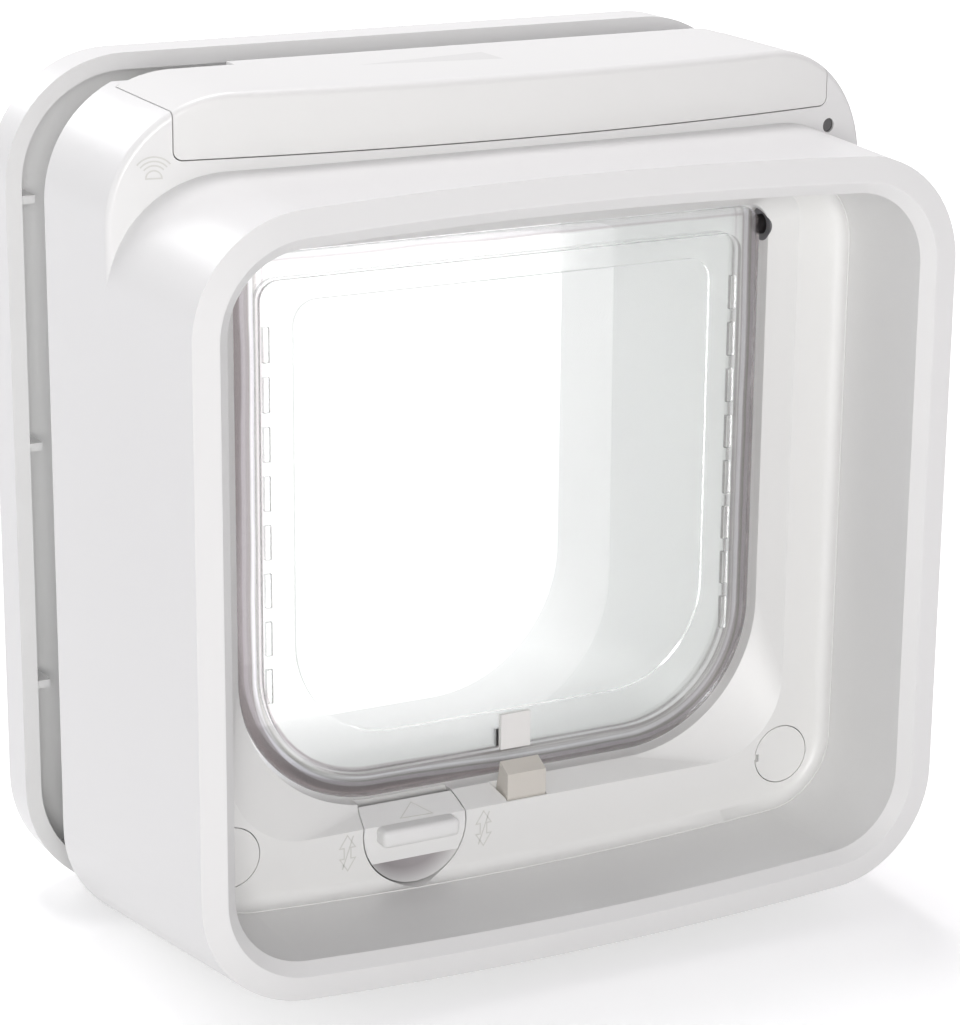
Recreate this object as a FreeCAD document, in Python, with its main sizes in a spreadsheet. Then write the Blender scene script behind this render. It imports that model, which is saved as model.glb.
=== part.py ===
import FreeCAD, Part
import math
import os

import Sketcher
from FreeCAD import Rotation, Vector

# A cat flap for a door: a deep white housing for the inside of the door, a clear
# hinged pane, a tunnel through the door and a frame that closes the outside.
# X runs across the flap, +Y from the room through the door, +Z up. The origin is
# the middle of the footprint, on the surface that the flap stands on.

os.makedirs("parts", exist_ok=True)
doc = FreeCAD.newDocument("CatFlap")
sheet = doc.addObject("Spreadsheet::Sheet", "Sizes")
derived = doc.addObject("Spreadsheet::Sheet", "Derived")

DRIVING = [
    # Opening, and the housing's reach round it
    ("OpeningWidth", 145.0), ("SillHeight", 38.0), ("OpeningHeight", 140.5),
    ("OpeningRadius", 37.0), ("OpeningTopRadius", 6.0), ("SideReach", 27.5), ("TopReach", 20.4),
    ("RimLift", 8.1), ("RimRadius", 28.0), ("RimTopBow", 1338.0), ("RimBottomBow", 1164.0),
    ("CrestInset", 5.9), ("CrestRise", 1.0), ("CrestFlat", 0.3), ("LipInset", 9.1),
    ("LipDepth", 1.8), ("LipWall", 2.5), ("SideDraft", 2.7), ("HousingDepth", 81.0),
    ("BackTopRadius", 30.0), ("BackBottomRadius", 28.5), ("CowlTopDraft", 1.1),
    ("UpperRise", 17.4), ("UpperHeight", 76.3), ("UpperSetback", 34.0), ("UpperRun", 4.0),
    ("UpperBow", 477.0), ("UpperFootRadius", 5.0), ("UpperEdge", 1.6), ("Wall", 3.0),
    ("CavityRadius", 25.0), ("FitGap", 0.2),
    # Face plate round the flap
    ("PlateDepth", 35.0), ("PlateThickness", 5.0), ("PlateGap", 0.05), ("CoveRadius", 3.0),
    ("CoveLand", 0.3), ("FlangeReach", 2.0), ("FlangeThickness", 2.0), ("FunnelFlare", 5.1),
    ("FunnelFall", 3.6), ("FunnelRise", 3.5), ("FunnelRadius", 20.5), ("FunnelTopRadius", 6.0),
    ("FunnelDepth", 6.0), ("CollarDepth", 10.0), ("CollarWall", 3.5), ("CollarStart", 1.0),
    # Flap and its hinge
    ("FlapGap", 1.1), ("FlapSetback", 1.0), ("FlapThickness", 5.0), ("FlapEdge", 2.0),
    ("FlapTopRadius", 4.9), ("FlapRim", 6.0), ("PaneThickness", 2.0), ("WindowMargin", 15.9),
    ("WindowRise", 18.0), ("WindowDrop", 12.5), ("WindowRadius", 26.0), ("WindowProud", 1.2),
    ("PivotDrop", 6.0), ("PinRadius", 2.5), ("PinReach", 3.6), ("PinClearance", 0.06),
    ("BushRadius", 4.2), ("BushLength", 5.0), ("RibInset", 8.9), ("RibWidth", 1.6),
    ("RibLength", 8.5), ("RibPitch", 12.0), ("RibRise", 30.0), ("StrikeLeft", -0.8),
    ("StrikeWidth", 8.3), ("StrikeRise", 7.5), ("StrikeHeight", 9.3), ("StrikeThickness", 1.3),
    # Tunnel through the door and the outside frame
    ("TunnelLength", 94.0), ("TunnelDraft", 0.8), ("TunnelFall", 17.0),
    ("TunnelRearRadius", 40.0), ("TunnelWall", 2.2), ("DoorGap", 23.0), ("FrameMargin", 1.3),
    ("FrameRadius", 31.0), ("FrameDepth", 16.0), ("FrameLip", 4.1), ("FrameBevel", 4.0),
    ("FrameWall", 2.6), ("SleeveGap", 0.3), ("SleeveWall", 2.6), ("FrameRibThickness", 2.0),
    ("FrameRibReach", 4.0), ("FrameRibSetback", 2.0), ("FrameRibFoot", 57.0),
    ("FrameRibPitch", 62.0),
    # Battery bay, its cover and what is under it
    ("CoverInsetLeft", 16.7), ("CoverInsetRight", 13.7), ("CoverHeight", 14.8),
    ("CoverCorner", 2.0), ("CoverRear", 76.0), ("CoverLedge", 1.0), ("CoverWall", 2.5),
    ("CoverGap", 0.3), ("TabInsetLeft", 30.0), ("TabInsetRight", 11.0), ("BayMargin", 18.7),
    ("BayWall", 4.0), ("BayDepth", 20.3), ("TrayWall", 1.6), ("TrayHeight", 8.0),
    ("CellRadius", 7.25), ("CellLength", 50.5), ("CellGap", 0.3), ("CellStart", 43.5),
    ("NubRadius", 2.8), ("NubLength", 1.2), ("ContactSpace", 5.0), ("ContactRadius", 3.0),
    ("ContactThickness", 0.6), ("BoardThickness", 1.6), ("BoardDrop", 7.4),
    ("BoardMargin", 32.7), ("BoardStart", 50.0), ("BoardDepth", 24.0), ("BoardRibInset", 18.0),
    ("BoardRibWidth", 3.0), ("SwitchSize", 6.0), ("SwitchGap", 4.0), ("ChipSize", 14.0),
    ("ChipHeight", 2.0), ("SocketLength", 18.0), ("SocketDepth", 7.0), ("SocketHeight", 4.5),
    ("SolderDepth", 0.5), ("CoilStart", 9.0), ("CoilDepth", 10.0), ("CoilThickness", 2.4),
    # Lock, catches, caps and screws
    ("KnobOffset", -28.4), ("KnobDrop", 5.9), ("KnobRadius", 13.9), ("KnobGap", 0.35),
    ("KnobFlat", 7.4), ("KnobDish", 4.2), ("WellDepth", 9.5), ("GripLength", 21.0),
    ("GripWidth", 4.4), ("GripRise", 4.4), ("GripEdge", 1.2), ("ShaftRadius", 1.8),
    ("ShaftGap", 0.1), ("SnapRadius", 2.2), ("FloorThickness", 3.0), ("BossWall", 2.4),
    ("CatchLeft", -2.4), ("CatchWidth", 10.8), ("CatchLength", 4.2), ("CatchStand", 3.4),
    ("CatchSetback", 0.5), ("CatchFace", 6.3), ("CatchRise", 2.2), ("CatchBack", 1.3),
    ("CatchDrop", 5.6), ("CatchTail", 5.0), ("CatchGap", 0.3), ("SlotMargin", 2.4),
    ("ExitStart", 47.8), ("ExitDepth", 5.2), ("ExitLength", 10.4), ("CapMargin", 5.3),
    ("CapDrop", 4.5), ("CapRadius", 7.6), ("CapGap", 0.25), ("CapThickness", 3.0),
    ("CapNotch", 1.0), ("ScrewRadius", 2.0), ("ScrewGap", 0.25), ("HeadRadius", 4.0),
    ("HeadHeight", 2.6), ("UpperScrewInset", 10.5), ("UpperScrewDrop", 15.5),
    ("NutRadius", 4.0), ("NutHeight", 3.0), ("NutWall", 2.5), ("PostInset", 7.7),
    ("PostRadius", 4.5), ("PostLength", 18.0), ("PostFoot", 60.0), ("PostPitch", 50.0),
    ("CaseScrewRadius", 1.3), ("CaseHeadRadius", 3.0), ("CaseHeadHeight", 1.8),
    ("LedInset", 9.8), ("LedDrop", 20.1), ("LedRadius", 1.7), ("LedRecess", 0.8),
    ("LedLength", 8.0), ("LedFall", 12.0), ("ButtonInset", 4.0), ("ButtonDepth", 52.0),
    ("ButtonRadius", 3.5), ("ButtonRise", 6.0), ("ButtonTravel", 1.0), ("MotorRadius", 7.0),
    ("MotorLength", 26.0), ("MotorDrop", 21.0), ("MotorStart", 57.0),
]

# Sizes and places that follow from the driving ones
DERIVED = [
    ("OpeningTop", "Sizes.SillHeight + Sizes.OpeningHeight"),
    ("RimWidth", "Sizes.OpeningWidth + 2 * Sizes.SideReach"),
    ("BackWidth", "RimWidth + 2 * Sizes.SideDraft"),
    ("HousingHeight", "OpeningTop + Sizes.TopReach + Sizes.UpperRise"),
    ("CowlTopHeight", "OpeningTop + Sizes.TopReach + Sizes.CowlTopDraft"),
    ("UpperFoot", "HousingHeight - Sizes.UpperHeight"),
    ("FunnelWidth", "Sizes.OpeningWidth + 2 * Sizes.FunnelFlare"),
    ("FunnelSill", "Sizes.SillHeight - Sizes.FunnelFall"),
    ("FunnelTop", "OpeningTop + Sizes.FunnelRise"),
    ("WindowWidth", "Sizes.OpeningWidth - 2 * Sizes.WindowMargin"),
    ("WindowSill", "Sizes.SillHeight + Sizes.WindowRise"),
    ("WindowTop", "OpeningTop - Sizes.WindowDrop"),
    ("PivotHeight", "OpeningTop - Sizes.PivotDrop"),
    ("RibOffset", "Sizes.OpeningWidth / 2 - Sizes.RibInset"),
    ("RibFoot", "Sizes.SillHeight + Sizes.RibRise"),
    ("StrikeFoot", "Sizes.SillHeight + Sizes.StrikeRise"),
    ("TunnelRearWidth", "Sizes.OpeningWidth - 2 * Sizes.TunnelDraft"),
    ("TunnelRearSill", "Sizes.SillHeight - Sizes.TunnelFall"),
    ("TunnelRearTop", "OpeningTop - Sizes.TunnelFall"),
    ("FrameWidth", "BackWidth + 2 * Sizes.FrameMargin"),
    ("CoverLeft", "BackWidth / 2 - Sizes.CoverInsetLeft"),
    ("CoverRight", "BackWidth / 2 - Sizes.CoverInsetRight"),
    ("CoverSeam", "HousingHeight - Sizes.CoverHeight"),
    ("TabLeft", "CoverLeft - Sizes.TabInsetLeft"),
    ("TabRight", "CoverRight - Sizes.TabInsetRight"),
    ("BayWidth", "BackWidth - 2 * Sizes.BayMargin"),
    ("BayFloor", "HousingHeight - Sizes.BayDepth"),
    ("BoardWidth", "BackWidth - 2 * Sizes.BoardMargin"),
    ("ButtonOffset", "BoardWidth / 2 - Sizes.ButtonInset"),
    ("KnobHeight", "Sizes.SillHeight - Sizes.KnobDrop"),
    ("CatchTop", "Sizes.SillHeight + Sizes.CatchStand"),
    ("CapOffset", "Sizes.OpeningWidth / 2 + Sizes.CapMargin"),
    ("CapHeight", "Sizes.SillHeight - Sizes.CapDrop"),
    ("UpperScrewOffset", "Sizes.OpeningWidth / 2 - Sizes.UpperScrewInset"),
    ("UpperScrewHeight", "HousingHeight - Sizes.UpperScrewDrop"),
    ("PostOffset", "BackWidth / 2 - Sizes.PostInset"),
    ("LedOffset", "RimWidth / 2 - Sizes.LedInset"),
    ("LedHeight", "HousingHeight - Sizes.LedDrop"),
    ("MotorHeight", "Sizes.SillHeight - Sizes.MotorDrop"),
]

for row, (alias, value) in enumerate(DRIVING, start=1):
    sheet.set("A%d" % row, alias)
    sheet.set("B%d" % row, str(value))
    sheet.setAlias("B%d" % row, alias)
doc.recompute()
for row, (alias, formula) in enumerate(DERIVED, start=1):
    derived.set("A%d" % row, alias)
    derived.set("B%d" % row, "=" + formula)
    derived.setAlias("B%d" % row, alias)
    doc.recompute()


# Places along the depth, worked out from the driving sizes

TOTAL = ("(Sizes.CrestRise + Sizes.PlateDepth + Sizes.FunnelDepth"
         " + Sizes.CollarDepth + Sizes.TunnelLength)")
RIM_Y = "(Sizes.CrestRise - %s / 2)" % TOTAL
CREST_Y = "(%s - Sizes.CrestRise)" % RIM_Y
PLATE_Y = "(%s + Sizes.PlateDepth)" % RIM_Y
SHOULDER_Y = "(%s + Sizes.PlateThickness)" % PLATE_Y
COLLAR_Y = "(%s + Sizes.FunnelDepth)" % PLATE_Y
TUNNEL_Y = "(%s + Sizes.CollarDepth)" % COLLAR_Y
REAR_Y = "(%s + Sizes.TunnelLength)" % TUNNEL_Y
DOOR_Y = "(%s + Sizes.HousingDepth)" % RIM_Y
BACK_Y = "(%s - Sizes.Wall)" % DOOR_Y
FRAME_Y = "(%s + Sizes.DoorGap)" % DOOR_Y
FRAME_REAR_Y = "(%s + Sizes.FrameDepth)" % FRAME_Y
FLAP_Y = "(%s + Sizes.FlapSetback)" % COLLAR_Y
PIVOT_Y = "(%s + Sizes.FlapThickness / 2)" % FLAP_Y
UPPER_Y = "(%s + Sizes.UpperSetback)" % RIM_Y
RIM_TOP = "(Derived.OpeningTop + Sizes.TopReach)"
DECK = "(Derived.BayFloor - Sizes.Wall)"
SCREW_TIP_Y = "(%s - Sizes.FrameWall - 1)" % FRAME_REAR_Y


def number(expression):
    return float(sheet.evalExpression(str(expression)))


def side_at(depth):
    """Half width of the housing at a depth behind the rim."""
    return ("(Derived.RimWidth / 2 + (Derived.BackWidth - Derived.RimWidth) / 2"
            " * (%s) / Sizes.HousingDepth)" % depth)


# Sketches, pads and booleans that every piece uses

def new_body(name):
    body = doc.addObject("PartDesign::Body", name)
    body.Label = name
    return body


def sketch_on(body, name, role, offset):
    plane = next(item for item in body.Origin.OriginFeatures if item.Role == role)
    sketch = body.newObject("Sketcher::SketchObject", name)
    sketch.AttachmentSupport = (plane, [""])
    sketch.MapMode = "FlatFace"
    sketch.setExpression("AttachmentOffset.Base.z", offset)
    return sketch


def bind(sketch, name, expression, kind, *geometry):
    index = sketch.addConstraint(Sketcher.Constraint(kind, *geometry, number(expression)))
    sketch.renameConstraint(index, name)
    sketch.setExpression("Constraints." + name, expression)


def arc(centre, radius, start, end):
    circle = Part.Circle(Vector(centre[0], centre[1], 0), Vector(0, 0, 1), radius)
    return Part.ArcOfCircle(circle, start, end)


def corner(half, edge, radius, bow):
    """Height of a corner's centre and the angle at which it meets the long edge."""
    if bow is None:
        return edge - radius, math.pi / 2
    rise = math.sqrt((bow - radius) ** 2 - (half - radius) ** 2)
    return edge - bow + rise, math.atan2(rise, half - radius)


def outline(body, name, y, half, bottom, top, low, high, top_bow=None, bottom_bow=None):
    """Rounded outline seen from the front; its top and bottom may bow outward."""
    sketch = sketch_on(body, name, "XZ_Plane", "-(%s)" % y)
    w, lower, upper, r_low, r_high = [number(item) for item in (half, bottom, top, low, high)]
    bow_up = number(top_bow) if top_bow else None
    bow_down = number(bottom_bow) if bottom_bow else None
    z_high, t_high = corner(w, upper, r_high, bow_up)
    z_low, t_low = corner(w, -lower, r_low, bow_down)
    z_low = -z_low
    x_high = w - r_high
    x_low = w - r_low
    right = Part.LineSegment(Vector(w, z_low, 0), Vector(w, z_high, 0))
    left = Part.LineSegment(Vector(-w, z_high, 0), Vector(-w, z_low, 0))
    if bow_up:
        top_edge = arc((0, upper - bow_up), bow_up, t_high, math.pi - t_high)
    else:
        top_edge = Part.LineSegment(Vector(x_high, upper, 0), Vector(-x_high, upper, 0))
    if bow_down:
        bottom_edge = arc((0, lower + bow_down), bow_down, math.pi + t_low, 2 * math.pi - t_low)
    else:
        bottom_edge = Part.LineSegment(Vector(-x_low, lower, 0), Vector(x_low, lower, 0))
    sketch.addGeometry([
        right,
        arc((x_high, z_high), r_high, 0, t_high),
        top_edge,
        arc((-x_high, z_high), r_high, math.pi - t_high, math.pi),
        left,
        arc((-x_low, z_low), r_low, math.pi, math.pi + t_low),
        bottom_edge,
        arc((x_low, z_low), r_low, 2 * math.pi - t_low, 2 * math.pi),
    ], False)
    for edge in range(8):
        sketch.addConstraint(Sketcher.Constraint("Tangent", edge, 2, (edge + 1) % 8, 1))
    sketch.addConstraint([
        Sketcher.Constraint("Vertical", 0), Sketcher.Constraint("Vertical", 4),
        Sketcher.Constraint("Equal", 1, 3), Sketcher.Constraint("Equal", 5, 7),
    ])
    bind(sketch, "half_right", half, "DistanceX", -1, 1, 0, 1)
    bind(sketch, "half_left", half, "DistanceX", 4, 1, -1, 1)
    bind(sketch, "high_radius", high, "Radius", 1)
    bind(sketch, "low_radius", low, "Radius", 5)
    bound_edge(sketch, 2, "top", top, top_bow, -1)
    bound_edge(sketch, 6, "bottom", bottom, bottom_bow, 1)
    return sketch


def bound_edge(sketch, edge, name, height, bow, side):
    """Fix a straight edge's height, or the radius and centre of a bowed one."""
    if bow is None:
        sketch.addConstraint(Sketcher.Constraint("Horizontal", edge))
        bind(sketch, name, height, "DistanceY", -1, 1, edge, 1)
        return
    sketch.addConstraint(Sketcher.Constraint("PointOnObject", edge, 3, -2))
    bind(sketch, name + "_bow", bow, "Radius", edge)
    bind(sketch, name, "(%s) + %d * (%s)" % (height, side, bow), "DistanceY", -1, 1, edge, 3)


def polygon(body, name, role, offset, points):
    """Closed line profile whose corners are bound to expressions."""
    sketch = sketch_on(body, name, role, offset)
    corners = [Vector(number(x), number(y), 0) for x, y in points]
    for start, end in zip(corners, corners[1:] + corners[:1]):
        sketch.addGeometry(Part.LineSegment(start, end), False)
    for index, (x, y) in enumerate(points):
        following = (index + 1) % len(points)
        sketch.addConstraint(Sketcher.Constraint("Coincident", index, 2, following, 1))
        bind(sketch, "x%d" % index, x, "DistanceX", -1, 1, index, 1)
        bind(sketch, "y%d" % index, y, "DistanceY", -1, 1, index, 1)
    return sketch


def pad(body, name, sketch, length, away=True):
    """Raise a front sketch towards the door, or a plan or side sketch along its normal."""
    feature = body.newObject("PartDesign::Pad", name)
    feature.Profile = sketch
    feature.setExpression("Length", length)
    feature.Reversed = away
    return feature


def loft(body, name, first, last, kind="Additive"):
    feature = body.newObject("PartDesign::%sLoft" % kind, name)
    feature.Profile = first
    feature.Sections = [last]
    feature.Ruled = True
    return feature


def place(item, x, y, z):
    for axis, expression in (("x", x), ("y", y), ("z", z)):
        item.setExpression("Placement.Base." + axis, expression)
    return item


def block(name, x, y, z, length, width, height):
    """Box from its lowest corner."""
    item = doc.addObject("Part::Box", name)
    item.setExpression("Length", length)
    item.setExpression("Width", width)
    item.setExpression("Height", height)
    return place(item, x, y, z)


TURNS = {
    "X": Rotation(Vector(0, 1, 0), 90),
    "Y": Rotation(Vector(1, 0, 0), -90),
    "Z": Rotation(),
}


def rod(name, along, x, y, z, radius, length):
    """Cylinder from the centre of its first end, along an axis."""
    item = doc.addObject("Part::Cylinder", name)
    item.setExpression("Radius", radius)
    item.setExpression("Height", length)
    item.Placement.Rotation = TURNS[along]
    return place(item, x, y, z)


def cone(name, along, x, y, z, first, second, length):
    item = doc.addObject("Part::Cone", name)
    item.setExpression("Radius1", first)
    item.setExpression("Radius2", second)
    item.setExpression("Height", length)
    item.Placement.Rotation = TURNS[along]
    return place(item, x, y, z)


def fuse(name, *items):
    result = doc.addObject("Part::MultiFuse", name)
    result.Shapes = list(items)
    result.Refine = True
    return result


def cut(name, base, *tools):
    result = doc.addObject("Part::Cut", name)
    result.Base = base
    result.Tool = tools[0]
    if len(tools) > 1:
        together = doc.addObject("Part::Compound", name + "_tools")
        together.Links = list(tools)
        result.Tool = together
    result.Refine = True
    return result


def common(name, first, second):
    result = doc.addObject("Part::MultiCommon", name)
    result.Shapes = [first, second]
    result.Refine = True
    return result


def round_edges(name, base, radius, picks):
    """Round every edge of a finished shape whose box passes the test."""
    doc.recompute()
    item = doc.addObject("Part::Fillet", name)
    item.Base = base
    edges = enumerate(base.Shape.Edges, start=1)
    item.Edges = [(index, radius, radius) for index, edge in edges if picks(edge.BoundBox)]
    return item


def edges_at(*depths):
    """Test for the edges that lie in one of the planes across the depth."""
    planes = [number(depth) for depth in depths]

    def test(box):
        flat = box.YMax - box.YMin < 0.01
        return flat and min(abs(box.YMin - plane) for plane in planes) < 0.01

    return test


def mirrored(offset):
    """The same distance on both sides of the middle."""
    return ("-(%s)" % offset, "(%s)" % offset)


# Housing: the cowl round the flap and the upper block that holds the batteries

def rim_outline(body, name, y, inset):
    size = {
        "half": "Derived.RimWidth / 2 - (%s)" % inset,
        "bottom": "Sizes.RimLift + (%s)" % inset,
        "top": "%s - (%s)" % (RIM_TOP, inset),
        "low": "Sizes.RimRadius - (%s)" % inset,
        "high": "Sizes.RimRadius - (%s)" % inset,
        "top_bow": "Sizes.RimTopBow - (%s)" % inset,
        "bottom_bow": "Sizes.RimBottomBow - (%s)" % inset,
    }
    return outline(body, name, y, **size)


def cowl_solid():
    body = new_body("cowl_solid")
    rim = rim_outline(body, "cowl_rim", RIM_Y, "0")
    back = outline(body, "cowl_back", DOOR_Y, "Derived.BackWidth / 2", "0",
                   "Derived.CowlTopHeight", "Sizes.BackBottomRadius", "Sizes.RimRadius")
    loft(body, "CowlSides", rim, back)
    crest = rim_outline(body, "cowl_crest", CREST_Y, "Sizes.CrestInset")
    loft(body, "CowlCrest", rim, crest)
    return body


def upper_block(name, inset):
    """Upper housing with a bowed front, or its inside when an inset is given."""
    body = new_body(name + "_sides")
    start = "Sizes.UpperSetback - Sizes.UpperRun"
    shape = ("Derived.UpperFoot", "Derived.HousingHeight - (%s)" % inset,
             "Sizes.UpperFootRadius", "Sizes.BackTopRadius - (%s)" % inset)
    front = outline(body, name + "_front", "%s + %s" % (RIM_Y, start),
                    "%s - (%s)" % (side_at(start), inset), *shape)
    back = outline(body, name + "_back", DOOR_Y,
                   "Derived.BackWidth / 2 - (%s)" % inset, *shape)
    loft(body, name + "_loft", front, back)
    bow = rod(name + "_bow", "Z", "0", "%s + Sizes.UpperBow" % UPPER_Y, "Derived.UpperFoot",
              "Sizes.UpperBow - (%s)" % inset, "Derived.HousingHeight - Derived.UpperFoot + 1")
    return common(name, body, bow)


def rounded_block(name):
    """Upper housing with the front edges of its top and sides rounded."""
    front_limit = number("%s + Sizes.UpperBow" % UPPER_Y) - math.sqrt(
        number("pow(Sizes.UpperBow; 2) - pow(Derived.BackWidth / 2; 2)")) + 1
    foot = number("Derived.UpperFoot + 1")
    return round_edges(name + "_rounded", upper_block(name, "0"), number("Sizes.UpperEdge"),
                       lambda box: box.YMax < front_limit and box.ZMax > foot)


def recess():
    """Hollow of the cowl in front of the face plate."""
    body = new_body("cowl_recess")
    mouth = rim_outline(body, "recess_mouth", CREST_Y, "Sizes.CrestInset + Sizes.CrestFlat")
    lip = rim_outline(body, "recess_lip", "%s + Sizes.LipDepth" % RIM_Y, "Sizes.LipInset")
    loft(body, "RecessLip", mouth, lip)
    wall = rim_outline(body, "recess_wall", "%s + Sizes.LipDepth" % RIM_Y, "Sizes.LipInset")
    pad(body, "RecessWall", wall, "Sizes.PlateDepth + Sizes.PlateThickness - Sizes.LipDepth")
    return body


def housing_cavity():
    """Inside of the housing, which runs forward between its walls and seats the back plate."""
    outer = new_body("cavity_outer")
    front = rim_outline(outer, "cavity_front", "%s + Sizes.Wall" % RIM_Y, "Sizes.Wall")
    back = outline(outer, "cavity_back", DOOR_Y, "Derived.BackWidth / 2 - Sizes.Wall",
                   "Sizes.Wall", DECK, "Sizes.CavityRadius", "Sizes.CavityRadius")
    loft(outer, "CavityOuter", front, back)
    inner = new_body("cavity_inner")
    edge = rim_outline(inner, "cavity_inner_edge", RIM_Y, "Sizes.LipInset - Sizes.LipWall")
    pad(inner, "CavityInner", edge, "Sizes.PlateDepth + Sizes.PlateThickness")
    seat = new_body("cavity_seat")
    pad(seat, "CavitySeat", back_outline(seat, "cavity_seat_edge", "0"), "Sizes.Wall")
    return fuse("housing_cavity", cut("cavity_hollow", outer, inner), seat)


def back_outline(body, name, gap):
    """Edge of the back plate, or of its seat in the housing."""
    inset = "Sizes.Wall + (%s)" % gap
    return outline(body, name, BACK_Y, "Derived.BackWidth / 2 - (%s)" % inset, inset,
                   "%s - (%s)" % (DECK, gap), "Sizes.CavityRadius - (%s)" % gap,
                   "Sizes.CavityRadius - (%s)" % gap)


def bay_hollow():
    """Battery bay, open at the top and behind the bowed front wall."""
    space = block("bay_space", "-Derived.BayWidth / 2", "%s - 1" % UPPER_Y, "Derived.BayFloor",
                  "Derived.BayWidth",
                  "Sizes.CoverRear - Sizes.CoverLedge - Sizes.UpperSetback + 1",
                  "Derived.HousingHeight - Derived.BayFloor + 1")
    bow = rod("bay_bow", "Z", "0", "%s + Sizes.UpperBow" % UPPER_Y, "Derived.BayFloor",
              "Sizes.UpperBow - Sizes.BayWall", "Derived.HousingHeight - Derived.BayFloor + 1")
    return common("battery_bay", space, bow)


def cover_region(name, gap):
    """Space of the battery cover, grown by a gap for the opening in the housing."""
    rear = "%s + Sizes.CoverRear" % RIM_Y
    main = block(name + "_main", "-Derived.CoverLeft - (%s)" % gap, "%s - 1" % UPPER_Y,
                 "Derived.CoverSeam - (%s)" % gap,
                 "Derived.CoverLeft + Derived.CoverRight + 2 * (%s)" % gap,
                 "Sizes.CoverRear - Sizes.UpperSetback + 1 + (%s)" % gap,
                 "Derived.HousingHeight - Derived.CoverSeam + 1 + (%s)" % gap)
    seam = number("Derived.CoverSeam - (%s)" % gap)
    corners = round_edges(name + "_corners", main, number("Sizes.CoverCorner + (%s)" % gap),
                          lambda box: box.ZMax < seam + 0.01 and box.XMax - box.XMin < 0.01)
    tab = block(name + "_tab", "-Derived.TabLeft - (%s)" % gap, "%s - 1" % rear,
                "Derived.HousingHeight - Sizes.CoverWall - (%s)" % gap,
                "Derived.TabLeft + Derived.TabRight + 2 * (%s)" % gap,
                "%s - (%s) + 1 + (%s)" % (DOOR_Y, rear, gap), "Sizes.CoverWall + 2")
    return fuse(name, corners, tab)


def cover_shelf():
    """Step in the top of the back wall, where only the cover's tab reaches the door."""
    return block("cover_shelf", "-Derived.CoverLeft - Sizes.CoverGap",
                 "%s + Sizes.CoverRear" % RIM_Y,
                 "Derived.HousingHeight - Sizes.CoverWall - Sizes.CoverGap",
                 "Derived.CoverLeft + Derived.CoverRight + 2 * Sizes.CoverGap",
                 "Sizes.HousingDepth - Sizes.CoverRear + 1", "Sizes.CoverWall + 2")


def housing_posts():
    """Posts for the case screws, and two ribs that carry the circuit board."""
    posts = []
    for side in mirrored("Derived.PostOffset"):
        for row in range(3):
            height = "Sizes.PostFoot + %d * Sizes.PostPitch" % row
            posts.append(rod("post", "Y", side, "%s - Sizes.PostLength" % BACK_Y, height,
                             "Sizes.PostRadius", "Sizes.PostLength"))
    for side in mirrored("Derived.BoardWidth / 2 - Sizes.BoardRibInset"):
        posts.append(block("board_rib", "%s - Sizes.BoardRibWidth / 2" % side, BOARD_Y,
                           "%s - Sizes.BoardDrop" % DECK, "Sizes.BoardRibWidth",
                           "Sizes.BoardDepth", "Sizes.BoardDrop + Sizes.Wall / 2"))
    return posts


def case_screw_rods(name, radius, length):
    """One rod per case screw, from the back plate's face towards the room."""
    rods = []
    for side in mirrored("Derived.PostOffset"):
        for row in range(3):
            height = "Sizes.PostFoot + %d * Sizes.PostPitch" % row
            rods.append(rod(name, "Y", side, "%s - (%s)" % (DOOR_Y, length), height,
                            radius, length))
    return rods


def upper_screw_rods(name, y, radius, length):
    return [rod(name, "Y", side, y, "Derived.UpperScrewHeight", radius, length)
            for side in mirrored("Derived.UpperScrewOffset")]


def lower_screw_rods(name, y, radius, length):
    return [rod(name, "Y", side, y, "Derived.CapHeight", radius, length)
            for side in mirrored("Derived.CapOffset")]


BOARD_Y = "(%s + Sizes.BoardStart)" % RIM_Y
LED_Y = ("(%s + Sizes.UpperBow - sqrt(pow(Sizes.UpperBow; 2) - pow(Derived.LedOffset; 2))"
         " + Sizes.LedRecess)" % UPPER_Y)
LED_BEND_Y = "(%s + Sizes.LedLength - 2 * Sizes.LedRadius)" % LED_Y
BUTTON_Y = "(%s + Sizes.ButtonDepth)" % RIM_Y
CASE_BITE = "Sizes.Wall + Sizes.PostLength - 4"


def led_hole():
    across = rod("led_hole", "Y", "Derived.LedOffset", "%s - 4" % LED_Y, "Derived.LedHeight",
                 "Sizes.LedRadius + Sizes.FitGap / 2", "Sizes.LedLength + 4.1")
    down = rod("led_well", "Z", "Derived.LedOffset", LED_BEND_Y,
               "Derived.LedHeight - Sizes.LedFall - 2", "Sizes.LedRadius + Sizes.FitGap / 2",
               "Sizes.LedFall + 2")
    return [across, down]


def cowl_shell():
    solid = fuse("housing_solid", cowl_solid(), rounded_block("upper_housing"))
    hollow = cut("housing_hollow", solid, recess(), housing_cavity(), bay_hollow(),
                 cover_region("cover_opening", "Sizes.CoverGap"))
    joined = fuse("housing_joined", hollow, *housing_posts())
    lit = cut("housing_lit", joined, *led_hole())
    holes = upper_screw_rods("shell_head_well", "%s - Sizes.HeadHeight - 1" % BACK_Y,
                             "Sizes.HeadRadius + Sizes.ScrewGap", "Sizes.HeadHeight + 1")
    holes += upper_screw_rods("shell_hole", "%s - 1" % BACK_Y,
                              "Sizes.ScrewRadius + Sizes.ScrewGap", "Sizes.Wall + 2")
    holes += case_screw_rods("shell_pilot", "Sizes.CaseScrewRadius", CASE_BITE)
    holes.append(cover_shelf())
    holes.append(rod("button_hole", "Z", "Derived.ButtonOffset", BUTTON_Y, "%s - 1" % DECK,
                     "Sizes.ButtonRadius + Sizes.CoverGap", "Sizes.Wall + 2"))
    return cut("cowl_shell", lit, *holes)


def battery_cover():
    skin = cut("cover_skin", rounded_block("cover_outer"),
               upper_block("cover_inside", "Sizes.CoverWall"))
    return common("battery_cover", skin, cover_region("cover_space", "0"))


# Face plate with its funnel, wells and slot

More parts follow.
